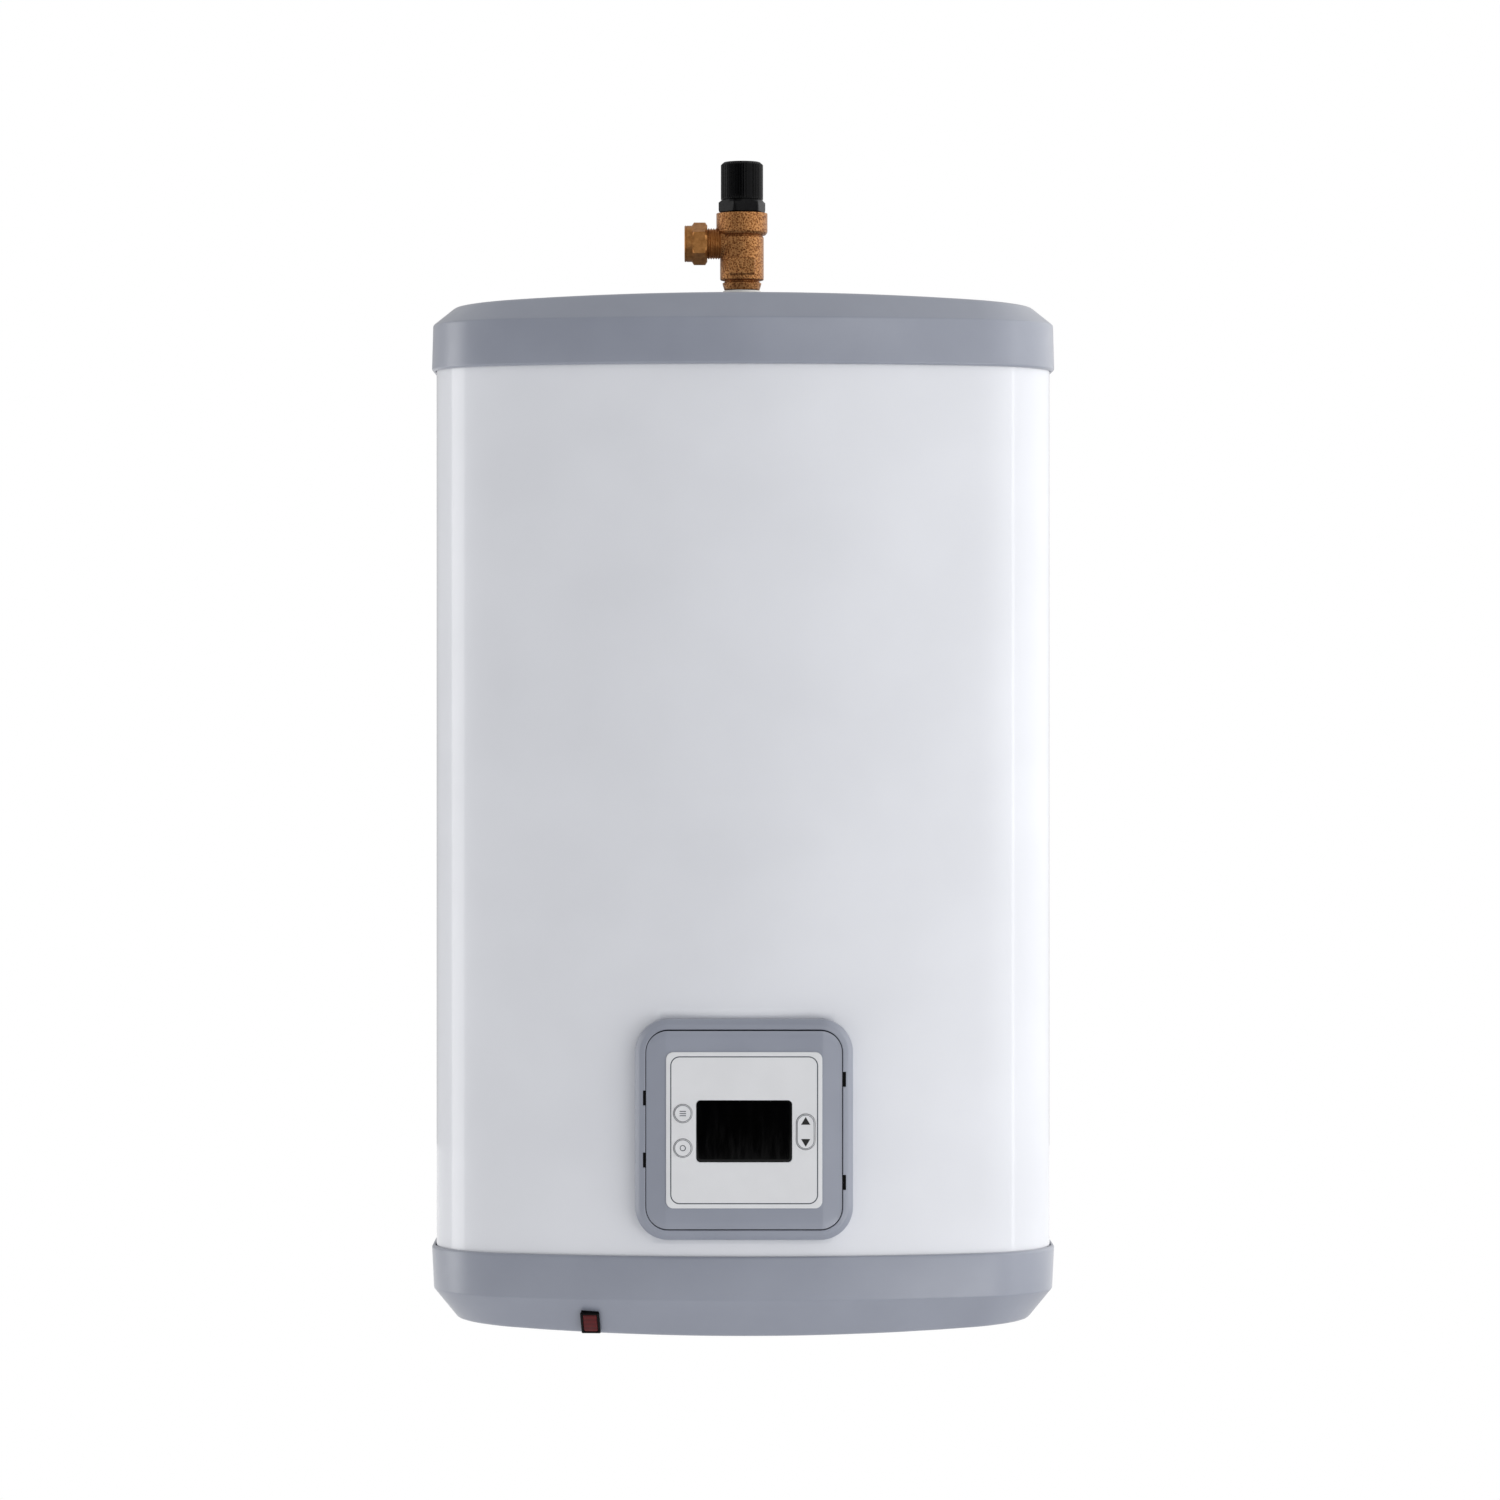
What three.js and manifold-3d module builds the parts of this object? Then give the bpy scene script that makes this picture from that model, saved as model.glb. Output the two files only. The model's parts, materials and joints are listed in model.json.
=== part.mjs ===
// Wall-hung unvented electric water heater, millimetres, +Z up.
// Origin: centre of the wall bracket's back face, on the wall. The front faces -Y, +X is to the right.
import * as THREE from 'three';
import { mergeVertices } from 'three/addons/utils/BufferGeometryUtils.js';
import Module from 'manifold-3d';

const wasm = await Module();
wasm.setup();

const QUARTER = Math.PI / 2;
const GAP = 0.3; // clearance between pieces that only rest on each other

// Case
const CASE = {
  halfWidth: 217.5, // steel wrap, at its straight sides
  frontY: -452, // middle of the bowed front
  backY: -12,
  bowRadius: 540,
  frontCorner: 75,
  backCorner: 60,
  sheet: 1.0,
  tuck: 25, // length of the wrap hidden inside each cap
};
const CAP = { overhang: 3.3, wall: 2.5, archHalfChord: 200, archRise: 5.9 };
const TOP_CAP = { edgeZ: 118, band: 32.5, crown: 51.4, slope: 0.8 };
const BOTTOM_CAP = { edgeZ: -500.9, band: 30.5, crown: 57.4, slope: 1.22 };
const CAP_SCREW = { x: 150, y: -60, hole: 2.4 };
// Indicator on the bottom cap's front chamfer: distance left of centre, below the band, and its turn
const NEON = { aside: 106.8, down: 16.7, turn: 0.08, width: 13.4, height: 19.6 };

// Hanging parts, lengths along X
const WALL_BRACKET = { length: 360, holes: [-150, -75, 75, 150] };
const HANGING_BRACKET = { length: 300, rivetX: 110, rivetZ: 10 };
const SPACER = { width: 40, height: 24, back: 0.2, front: 11.7, x: 140, aboveEdge: 60 };

// Tank, its axis upright
const TANK = { y: -232, radius: 175, wall: 2.5, lowZ: -445, highZ: 60, dome: 45 };
const BOSS = { z: -400, radius: 50, bore: 34, face: 184, boltCircle: 44 }; // element boss, faces -Y
const NECK_BOSS = { radius: 20, bore: 10.5, topZ: 150 };
const PIPE = { x: 60, back: 82, outer: 7.5, inner: 6.6, socketOuter: 11, socketInner: 7.8 };
const PIPE_ENDS = { mouthZ: -574, shoulderZ: -550, nutLowZ: -582.5, nutHighZ: -560 };
const GLAND = { x: 135, y: -150, bore: 5, thread: 9.8, nutFlats: 27 };

// Control panel, centred on the bowed front, depths measured forward from the front
const PANEL = { z: -412.5, width: 151, height: 153, corner: 23, proud: 10, cutWidth: 124, cutHeight: 126 };
const COVER = { width: 135.6, height: 137, corner: 15, front: 11.5, edgeFront: 9, foldX: 54.5, wall: 2.4 };
const LABEL = { size: 108, corner: 5, thickness: 0.8, front: 12.4 };
const WINDOW = { width: 66, height: 42.5, corner: 3, front: 12.6, z: -0.7 };
const KEY = { radius: 6.25, x: -42.4, upperZ: 11.6, lowerZ: -12.3, front: 13.2 };
const ROCKER = { x: 42.5, z: -1.05, width: 12.7, height: 24.3, pressZ: 8 };
const KEY_HOLE = { keyMargin: 0.4, rockerMarginX: 0.8, rockerMarginZ: 1.2 };
const TRAY = { width: 122, height: 124, wall: 2, front: 6, back: 12 };
const BOARD = { size: 112, front: -1, thickness: 1.6 };

// Relief valve, heights measured up from the crown of the top cap
const CROWN_Z = TOP_CAP.edgeZ + TOP_CAP.crown;
const VALVE = {
  seat: 37, chamber: 12.6, port: 7, outletZ: 49.5, neck: 11.35, neckEnd: 33, top: 71.3, padZ: 31.3, capHole: 14.4,
};
const NUT = { start: 25.3, hexEnd: 36.6, end: 42, flats: 27, round: 13.4 };

const paint = (color, roughness, metalness) => new THREE.MeshStandardMaterial({ color, roughness, metalness });
const MATERIALS = {
  whiteEnamel: paint(0xe4e5e9, 0.25, 0),
  greyAbs: paint(0x8d93a1, 0.45, 0),
  blackPlastic: paint(0x15151a, 0.4, 0),
  whitePlastic: paint(0xe6e5e0, 0.45, 0),
  labelFilm: paint(0xdadbdd, 0.4, 0),
  blackGlass: paint(0x050506, 0.08, 0),
  redLens: paint(0x6e1418, 0.15, 0),
  castBrass: paint(0x9a6a3c, 0.45, 1),
  brightBrass: paint(0xc39a5f, 0.3, 1),
  steel: paint(0xa6a9ad, 0.35, 1),
  copper: paint(0xb06a45, 0.3, 1),
  enamelTank: paint(0x2c3e63, 0.3, 0),
  foam: paint(0xd9c893, 0.9, 0),
  rubber: paint(0x1c1c1c, 0.8, 0),
  circuitBoard: paint(0x1f5c38, 0.5, 0),
  magnesium: paint(0xb4b6b4, 0.6, 1),
};

// ---- solids ------------------------------------------------------------------------------------

function solid(geometry) {
  const bare = geometry.index ? geometry.toNonIndexed() : geometry.clone();
  bare.deleteAttribute('normal');
  bare.deleteAttribute('uv');
  const merged = mergeVertices(bare, 1e-3);
  const vertProperties = new Float32Array(merged.attributes.position.array);
  const triVerts = new Uint32Array(merged.index.array);
  return new wasm.Manifold(new wasm.Mesh({ numProp: 3, vertProperties, triVerts }));
}

function geometryOf(body) {
  const mesh = body.getMesh();
  const geometry = new THREE.BufferGeometry();
  geometry.setAttribute('position', new THREE.BufferAttribute(new Float32Array(mesh.vertProperties), 3));
  geometry.setIndex(new THREE.BufferAttribute(new Uint32Array(mesh.triVerts), 1));
  geometry.computeVertexNormals();
  return geometry;
}

// Turned about Z, from [radius, z] points that run from the lower inside to the upper inside.
function turned(points, segments = 18) {
  const profile = points.map(([radius, z]) => new THREE.Vector2(radius, z));
  const last = points[points.length - 1];
  const onAxis = points[0][0] === 0 && last[0] === 0;
  if (!onAxis) profile.push(profile[0].clone());
  return new THREE.LatheGeometry(profile, segments).rotateX(QUARTER);
}

const rod = (radius, low, high, segments = 14) =>
  turned([[0, low], [radius, low], [radius, high], [0, high]], segments);

const ring = (inner, outer, low, high, segments = 18) =>
  turned([[inner, low], [outer, low], [outer, high], [inner, high]], segments);

const prism = (shape, depth, curveSegments = 3) =>
  new THREE.ExtrudeGeometry(shape, { depth, curveSegments, bevelEnabled: false });

// Outline in X and Z, thickness running forward from the depth `back` to the depth `front`.
const facing = (shape, back, front, curveSegments = 3) =>
  prism(shape, front - back, curveSegments).rotateX(QUARTER).translate(0, -back, 0);

// Axis upright -> axis along -Y, or along -X.
const forward = (geometry) => geometry.rotateX(QUARTER);
const leftward = (geometry) => geometry.rotateY(-QUARTER);

const block = (width, depth, height, x = 0, y = 0, z = 0) =>
  new THREE.BoxGeometry(width, depth, height).translate(x, y, z);

function add(parent, name, shape, material, x = 0, y = 0, z = 0) {
  const geometry = shape.isBufferGeometry ? geometryOf(solid(shape)) : geometryOf(shape);
  const mesh = new THREE.Mesh(geometry, material);
  mesh.name = name;
  mesh.position.set(x, y, z);
  parent.add(mesh);
  return mesh;
}

function group(parent, x, y, z) {
  const inner = new THREE.Group();
  inner.position.set(x, y, z);
  parent.add(inner);
  return inner;
}

function roundedRect(width, height, radius, x = 0, y = 0) {
  const shape = new THREE.Shape();
  const reachX = width / 2 - radius;
  const reachY = height / 2 - radius;
  const corners = [[1, -1], [1, 1], [-1, 1], [-1, -1]];
  corners.forEach(([sideX, sideY], index) => {
    const start = (index - 1) * QUARTER;
    shape.absarc(x + sideX * reachX, y + sideY * reachY, radius, start, start + QUARTER, false);
  });
  return shape;
}

function polygon(points) {
  const shape = new THREE.Shape();
  points.forEach(([x, y], index) => (index ? shape.lineTo(x, y) : shape.moveTo(x, y)));
  return shape;
}

function hexagon(acrossFlats) {
  const radius = acrossFlats / Math.sqrt(3);
  const corners = Array.from({ length: 6 }, (_, k) => (k * Math.PI) / 3);
  return polygon(corners.map((angle) => [radius * Math.cos(angle), radius * Math.sin(angle)]));
}

// ---- case --------------------------------------------------------------------------------------

// Plan of the case: bowed front, straight sides, flat back, moved outwards by `grow`.
function casePlan(grow) {
  const bowCentreY = CASE.frontY + CASE.bowRadius;
  const cornerX = CASE.halfWidth - CASE.frontCorner;
  const reach = CASE.bowRadius - CASE.frontCorner;
  const spread = Math.asin(cornerX / reach);
  const cornerY = bowCentreY - reach * Math.cos(spread);
  const front = -QUARTER;
  const backX = CASE.halfWidth - CASE.backCorner;
  const backY = CASE.backY - CASE.backCorner;
  const shape = new THREE.Shape();
  shape.absarc(0, bowCentreY, CASE.bowRadius + grow, front - spread, front + spread, false);
  shape.absarc(cornerX, cornerY, CASE.frontCorner + grow, front + spread, 0, false);
  shape.absarc(backX, backY, CASE.backCorner + grow, 0, QUARTER, false);
  shape.absarc(-backX, backY, CASE.backCorner + grow, QUARTER, Math.PI, false);
  shape.absarc(-cornerX, cornerY, CASE.frontCorner + grow, Math.PI, 3 * QUARTER - spread, false);
  return shape;
}

const casePrism = (grow, low, high) => prism(casePlan(grow), high - low, 4).translate(0, 0, low);

// Block under a shallow arch, crowned at `crown` above z = 0 and running from front to back.
function archBlock(low, crown) {
  const { archHalfChord: half, archRise: rise } = CAP;
  const radius = (half * half + rise * rise) / (2 * rise);
  const reach = CASE.halfWidth + 2 * CAP.overhang;
  const spread = Math.asin(reach / radius);
  const shape = new THREE.Shape();
  shape.moveTo(-reach, low);
  shape.lineTo(reach, low);
  shape.absarc(0, crown - radius, radius, QUARTER - spread, QUARTER + spread, false);
  const depth = CASE.backY - CASE.frontY + 4 * CAP.overhang;
  const middle = (CASE.backY + CASE.frontY) / 2;
  return prism(shape, depth, 5).rotateX(QUARTER).translate(0, middle + depth / 2, 0);
}

// Band with a chamfer above it, its free edge at z = 0.
function chamferedBlock(grow, band, slope, below) {
  const rise = 30;
  const run = rise / slope;
  const geometry = new THREE.ExtrudeGeometry(casePlan(grow), {
    depth: band + below,
    curveSegments: 4,
    bevelThickness: rise,
    bevelSize: run,
    bevelOffset: -run,
    bevelSegments: 1,
  });
  return geometry.translate(0, 0, -below);
}

function capShell({ band, crown, slope }) {
  const { overhang, wall } = CAP;
  const lean = Math.atan(slope);
  const innerBand = band - (wall * (1 - Math.sin(lean))) / Math.cos(lean);
  const outer = solid(chamferedBlock(overhang, band, slope, 0)).intersect(solid(archBlock(0, crown)));
  const hollow = solid(chamferedBlock(overhang - wall, innerBand, slope, 40));
  return outer.subtract(hollow.intersect(solid(archBlock(-10, crown - wall))));
}

// Where the neon indicator sits on the bottom cap's front chamfer, and how it faces.
function neonPlace() {
  const radius = CASE.bowRadius + CAP.overhang - NEON.down / BOTTOM_CAP.slope;
  const y = CASE.frontY + CASE.bowRadius - Math.sqrt(radius ** 2 - NEON.aside ** 2);
  const z = BOTTOM_CAP.edgeZ - BOTTOM_CAP.band - NEON.down;
  const place = new THREE.Group();
  place.position.set(-NEON.aside, y, z);
  place.rotation.set(QUARTER - Math.atan(BOTTOM_CAP.slope), 0, -NEON.turn, 'ZXY');
  place.updateMatrix();
  return place;
}

function addCase(heater) {
  const lowZ = BOTTOM_CAP.edgeZ - CASE.tuck;
  const highZ = TOP_CAP.edgeZ + CASE.tuck;
  const window = facing(roundedRect(PANEL.cutWidth, PANEL.cutHeight, 8), -20, 20);
  const cutout = window.translate(0, CASE.frontY, PANEL.z);
  const wrap = solid(casePrism(0, lowZ, highZ))
    .subtract(solid(casePrism(-CASE.sheet, lowZ - 1, highZ + 1)))
    .subtract(solid(cutout));
  add(heater, 'body_shell', wrap, MATERIALS.whiteEnamel);

  const valveHole = rod(VALVE.capHole, 0, TOP_CAP.crown + 10).translate(0, TANK.y, 0);
  const topCap = capShell(TOP_CAP).subtract(solid(valveHole));
  add(heater, 'top_cap', topCap, MATERIALS.greyAbs, 0, 0, TOP_CAP.edgeZ);

  const pipeY = TANK.y + PIPE.back;
  const holes = [
    rod(19, 0, 100).translate(PIPE.x, pipeY, 0),
    rod(19, 0, 100).translate(-PIPE.x, pipeY, 0),
    rod(GLAND.thread + GAP, 0, 100).translate(-GLAND.x, GLAND.y, 0),
    rod(CAP_SCREW.hole, 0, 100, 12).translate(CAP_SCREW.x, CAP_SCREW.y, 0),
    rod(CAP_SCREW.hole, 0, 100, 12).translate(-CAP_SCREW.x, CAP_SCREW.y, 0),
  ];
  let lowerCap = holes.reduce((cap, hole) => cap.subtract(solid(hole)), capShell(BOTTOM_CAP));
  const flip = new THREE.Matrix4().makeRotationY(Math.PI).setPosition(0, 0, BOTTOM_CAP.edgeZ);
  const neonCut = block(NEON.width - 0.8, 24, NEON.height - 1.2)
    .applyMatrix4(neonPlace().matrix)
    .applyMatrix4(flip.invert());
  lowerCap = lowerCap.subtract(solid(neonCut));
  add(heater, 'bottom_cap', lowerCap, MATERIALS.greyAbs, 0, 0, BOTTOM_CAP.edgeZ).rotation.y = Math.PI;

  const neon = neonPlace();
  heater.add(neon);
  const lip = solid(block(NEON.width, 1.4, NEON.height, 0, -1.6, 0));
  const frame = lip.add(solid(block(NEON.width - 1.4, 12, NEON.height - 1.8, 0, 4, 0)));
  const lensPocket = solid(block(NEON.width - 3, 30, NEON.height - 3.4, 0, -6, 0));
  add(neon, 'neon_bezel', frame.subtract(lensPocket), MATERIALS.blackPlastic);
  const lens = facing(roundedRect(NEON.width - 3.6, NEON.height - 4, 1.2), -7, 2.2, 2);
  add(neon, 'neon_lens', lens, MATERIALS.redLens);

  const archDrop = CAP.archRise * (CAP_SCREW.x / CAP.archHalfChord) ** 2;
  const screwZ = BOTTOM_CAP.edgeZ - BOTTOM_CAP.crown + archDrop - 0.4;
  for (const [side, sign] of [['left', -1], ['right', 1]]) {
    const screw = turned([[0, -3], [3.6, -3], [4.2, -1.6], [4.2, 0], [2.1, 0], [2.1, 14], [0, 14]], 8);
    add(heater, `cap_screw_${side}`, screw, MATERIALS.steel, sign * CAP_SCREW.x, CAP_SCREW.y, screwZ);
  }
}

function addHanging(heater) {
  const wallPlate = polygon([
    [0, -35], [0, 35], [-5, 35], [-5, 57.2], [-7.5, 57.2], [-7.5, 32.5], [-2.5, 32.5], [-2.5, -35],
  ].reverse());
  // Profile in Y and Z, run along X.
  const alongX = (shape, length) =>
    prism(shape, length).applyMatrix4(new THREE.Matrix4().makeBasis(
      new THREE.Vector3(0, 1, 0), new THREE.Vector3(0, 0, 1), new THREE.Vector3(1, 0, 0),
    )).translate(-length / 2, 0, 0);
  let wallBracket = solid(alongX(wallPlate, WALL_BRACKET.length));
  for (const x of WALL_BRACKET.holes) {
    wallBracket = wallBracket.subtract(solid(forward(rod(4, -10, 10, 10)).translate(x, 0, 0)));
  }
  add(heater, 'wall_bracket', wallBracket, MATERIALS.steel);

  const hook = polygon([
    [-11.7, -20], [-9.2, -20], [-9.2, 57.5], [-4.6, 57.5], [-4.6, 40], [-2.1, 40], [-2.1, 60], [-11.7, 60],
  ]);
  const { length, rivetX, rivetZ } = HANGING_BRACKET;
  let hangingBracket = solid(alongX(hook, length));
  for (const x of [-rivetX, rivetX]) {
    hangingBracket = hangingBracket.subtract(solid(forward(rod(2.6, 0, 20, 12)).translate(x, 0, rivetZ)));
  }
  add(heater, 'hanging_bracket', hangingBracket, MATERIALS.steel);
  const spacerZ = BOTTOM_CAP.edgeZ + SPACER.aboveEdge;
  for (const [side, sign] of [['left', -1], ['right', 1]]) {
    // Rivet: head behind the hanging plate, shank stopping short of the case sheet.
    const rivet = forward(turned([[0, 6.4], [4.5, 6.4], [4.5, 8.9], [2.2, 8.9], [2.2, 11.8], [0, 11.8]], 8));
    add(heater, `hanging_rivet_${side}`, rivet, MATERIALS.steel, sign * rivetX, 0, rivetZ);
    const pad = facing(roundedRect(SPACER.width, SPACER.height, 5), SPACER.back, SPACER.front, 2);
    add(heater, `wall_spacer_${side}`, pad, MATERIALS.rubber, sign * SPACER.x, 0, spacerZ);
  }
}

// ---- tank, element and pipes -------------------------------------------------------------------

function tankProfile(grow) {
  const radius = TANK.radius + grow;
  const dome = TANK.dome + grow;
  const steps = 3;
  const angles = Array.from({ length: steps + 1 }, (_, k) => (k * QUARTER) / steps);
  const low = angles.map((a) => [radius * Math.sin(a), TANK.lowZ - dome * Math.cos(a)]);
  const high = angles.map((a) => [radius * Math.cos(a), TANK.highZ + dome * Math.sin(a)]);
  low[0][0] = 0;
  high[steps][0] = 0;
  return [...low, ...high];
}

const tankBody = (grow) => solid(turned(tankProfile(grow), 24));
const upright = (radius, low, high, x, y, segments) => rod(radius, low, high, segments).translate(x, y, 0);
const atBoss = (geometry, x = 0, z = 0) => forward(geometry).translate(x, 0, BOSS.z + z);
const boltPlaces = [[1, 1], [-1, 1], [-1, -1], [1, -1]].map(([x, z]) => {
  const reach = BOSS.boltCircle / Math.SQRT2;
  return [x * reach, z * reach];
});

function addTank(tank) {
  const portLow = TANK.lowZ - TANK.dome;
  let shell = tankBody(0)
    .add(solid(atBoss(rod(BOSS.radius, 120, BOSS.face, 20))))
    .add(solid(upright(NECK_BOSS.radius, 80, NECK_BOSS.topZ, 0, 0)))
    .add(solid(upright(13, portLow - 4, portLow + 40, PIPE.x, PIPE.back)))
    .add(solid(upright(13, portLow - 4, portLow + 40, -PIPE.x, PIPE.back)))
    .subtract(tankBody(-TANK.wall))
    .subtract(solid(atBoss(rod(BOSS.bore, 100, 200, 20))))
    .subtract(solid(upright(NECK_BOSS.bore, 60, 200, 0, 0)));
  for (const x of [-PIPE.x, PIPE.x]) {
    shell = shell.subtract(solid(upright(PIPE.outer + GAP, portLow - 10, portLow + 60, x, PIPE.back)));
  }
  for (const [x, z] of boltPlaces) {
    shell = shell.subtract(solid(atBoss(rod(3.3, 174.6, 200, 8), x, z)));
  }
  add(tank, 'inner_tank', shell, MATERIALS.enamelTank);

  let foam = solid(casePrism(-CASE.sheet - GAP, -512, 138).translate(0, -TANK.y, 0))
    .subtract(tankBody(GAP))
    .subtract(solid(facing(roundedRect(126, 130, 6), 140, 260).translate(0, 0, PANEL.z)))
    .subtract(solid(upright(NECK_BOSS.radius + GAP, 60, 200, 0, 0)));
  for (const x of [-PIPE.x, PIPE.x]) {
    foam = foam.subtract(solid(upright(13 + GAP, -540, -440, x, PIPE.back)));
  }
  add(tank, 'insulation_foam', foam, MATERIALS.foam);
}

// U-shaped tube from the flange into the tank and back, its bend lying level.
function elementPath(halfGap, frontY, bendY) {
  const path = new THREE.CurvePath();
  const left = new THREE.Vector3(-halfGap, frontY, 0);
  const right = new THREE.Vector3(halfGap, frontY, 0);
  const bendLeft = new THREE.Vector3(-halfGap, bendY, 0);
  const bendRight = new THREE.Vector3(halfGap, bendY, 0);
  const reach = (halfGap * 4) / 3;
  path.add(new THREE.LineCurve3(left, bendLeft));
  path.add(new THREE.CubicBezierCurve3(
    bendLeft, bendLeft.clone().setY(bendY + reach), bendRight.clone().setY(bendY + reach), bendRight,
  ));
  path.add(new THREE.LineCurve3(bendRight, right));
  return path;
}

function circle(radius) {
  const shape = new THREE.Shape();
  shape.absarc(0, 0, radius, 0, 2 * Math.PI, false);
  return shape;
}

function addElement(tank) {
  const gasketBack = BOSS.face + GAP;
  const flangeBack = gasketBack + 1.5 + GAP;
  const flangeFront = flangeBack + 5;
  const legX = 16;
  const legZ = -12;
  const legRadius = 4.25;
  const pocketRadius = 4.5;
  const anodeZ = 20;

  const gasket = forward(ring(34.5, 39.5, gasketBack, gasketBack + 1.5));
  add(tank, 'element_gasket', gasket, MATERIALS.rubber, 0, 0, BOSS.z);

  const holes = [
    forward(rod(legRadius + GAP, 150, 220, 12)).translate(legX, 0, legZ),
    forward(rod(legRadius + GAP, 150, 220, 12)).translate(-legX, 0, legZ),
    forward(rod(pocketRadius + GAP, 150, 220, 12)),
    forward(rod(4.2, 150, 220, 12)).translate(0, 0, anodeZ),
    ...boltPlaces.map(([x, z]) => forward(rod(3.3, 150, 220, 8)).translate(x, 0, z)),
  ];
  const plate = solid(forward(rod(BOSS.radius, flangeBack, flangeFront, 20)));
  const flange = holes.reduce((body, hole) => body.subtract(solid(hole)), plate);
  add(tank, 'element_flange', flange, MATERIALS.steel, 0, 0, BOSS.z);

  boltPlaces.forEach(([x, z], index) => {
    const shank = solid(forward(rod(3, 175.2, flangeFront + GAP, 8)));
    const head = solid(forward(prism(hexagon(10), 4).translate(0, 0, flangeFront + GAP)));
    add(tank, `flange_bolt_${index + 1}`, shank.add(head), MATERIALS.steel, x, 0, BOSS.z + z);
  });

  const bendY = 90;
  const tube = new THREE.ExtrudeGeometry(circle(legRadius), {
    steps: 22,
    curveSegments: 3,
    extrudePath: elementPath(legX, -flangeFront - 14, bendY),
  });
  add(tank, 'heating_element', tube, MATERIALS.copper, 0, 0, BOSS.z + legZ);

  const pocket = turned([
    [0, -30], [pocketRadius, -30], [pocketRadius, flangeFront + 2], [3.4, flangeFront + 2], [3.4, -28], [0, -28],
  ], 12);
  add(tank, 'sensor_pocket', forward(pocket), MATERIALS.copper, 0, 0, BOSS.z);
  add(tank, 'temperature_probe', forward(rod(3, -20, flangeFront + 8, 10)), MATERIALS.steel, 0, 0, BOSS.z);

  const anode = turned([[0, 0], [9, 0], [9, 175], [3.9, 175], [3.9, flangeFront + 7], [0, flangeFront + 7]], 14);
  add(tank, 'anode_rod', forward(anode), MATERIALS.magnesium, 0, 0, BOSS.z + anodeZ);

  const cutout = facing(roundedRect(32, 14, 2), flangeFront + GAP, flangeFront + 13, 1);
  add(tank, 'thermal_cutout', cutout, MATERIALS.blackPlastic, 0, 0, BOSS.z - 30);
}

function addPipe(tank, name, x, topZ) {
  const { outer, inner, socketOuter, socketInner } = PIPE;
  const { mouthZ, shoulderZ } = PIPE_ENDS;
  const pipe = turned([
    [socketInner, mouthZ], [socketOuter, mouthZ], [socketOuter, shoulderZ + 2], [outer, shoulderZ + 6],
    [outer, topZ], [inner, topZ], [inner, shoulderZ], [socketInner, shoulderZ],
  ], 16);
  add(tank, `${name}_pipe`, pipe, MATERIALS.copper, x, PIPE.back, 0);
  addNut(tank, `${name}_nut`, PIPE_ENDS, x);
}

function addNut(tank, name, { mouthZ, nutLowZ, nutHighZ }, x) {
  const threadTop = mouthZ - 1;
  const body = turned([
    [7.9, nutLowZ], [15.6, nutLowZ], [15.6, nutHighZ], [11.35, nutHighZ], [11.35, threadTop], [7.9, threadTop - 3],
  ], 14);
  const nut = solid(body).intersect(solid(prism(hexagon(27), 60).translate(0, 0, nutLowZ - 10)));
  add(tank, name, nut, MATERIALS.brightBrass, x, PIPE.back, 0);
}

function addDiffuser(tank) {
  const top = -418;
  const cup = turned([
    [0, top - 3], [7.8, top - 3], [7.8, top - 26], [9.4, top - 26], [9.4, top - 2], [18, top - 2],
    [18, top - 14], [19.5, top - 14], [19.5, top], [0, top],
  ], 12);
  const slots = [block(30, 8, 7, 0, 0, top - 7), block(8, 30, 7, 0, 0, top - 7)];
  const body = slots.reduce((rest, slot) => rest.subtract(solid(slot)), solid(cup));
  add(tank, 'cold_diffuser', body, MATERIALS.whitePlastic, PIPE.x, PIPE.back, 0);
}

function addGland(heater) {
  const face = BOTTOM_CAP.edgeZ - BOTTOM_CAP.crown + 2.2;
  const gland = turned([
    [GLAND.bore, face - 18], [8.5, face - 18], [10.5, face - 14], [13, face - 6], [13, face - 0.4],
    [GLAND.thread, face - 0.4], [GLAND.thread, face + 14], [GLAND.bore, face + 14],
  ], 16);
  add(heater, 'cable_gland', gland, MATERIALS.blackPlastic, GLAND.x, GLAND.y, 0);
  const nutBody = solid(prism(hexagon(GLAND.nutFlats), 5).translate(0, 0, face + 4.2));
  const nut = nutBody.subtract(solid(rod(GLAND.thread + GAP, face - 20, face + 30)));
  add(heater, 'gland_nut', nut, MATERIALS.blackPlastic, GLAND.x, GLAND.y, 0);
}

// ---- control panel -----------------------------------------------------------------------------

const windowHole = (margin) =>
  facing(roundedRect(WINDOW.width + margin, WINDOW.height + margin, WINDOW.corner), -40, 40, 2)
    .translate(0, 0, WINDOW.z);
const keyHole = (radius, z) => forward(rod(radius, -40, 40, 14)).translate(KEY.x, 0, z);
const rockerHole = (marginX, marginZ) => {
  const width = ROCKER.width + marginX;
  return facing(roundedRect(width, ROCKER.height + marginZ, width / 2 - 0.05), -40, 40, 3)
    .translate(ROCKER.x, 0, ROCKER.z);
};

// Control holes shared by the cover and the label.
function withHoles(body, windowMargin) {
  const holes = [
    windowHole(windowMargin),
    keyHole(KEY.radius + KEY_HOLE.keyMargin, KEY.upperZ),
    keyHole(KEY.radius + KEY_HOLE.keyMargin, KEY.lowerZ),
    rockerHole(KEY_HOLE.rockerMarginX, KEY_HOLE.rockerMarginZ),
  ];
  return holes.reduce((rest, hole) => rest.subtract(solid(hole)), body);
}

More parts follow.
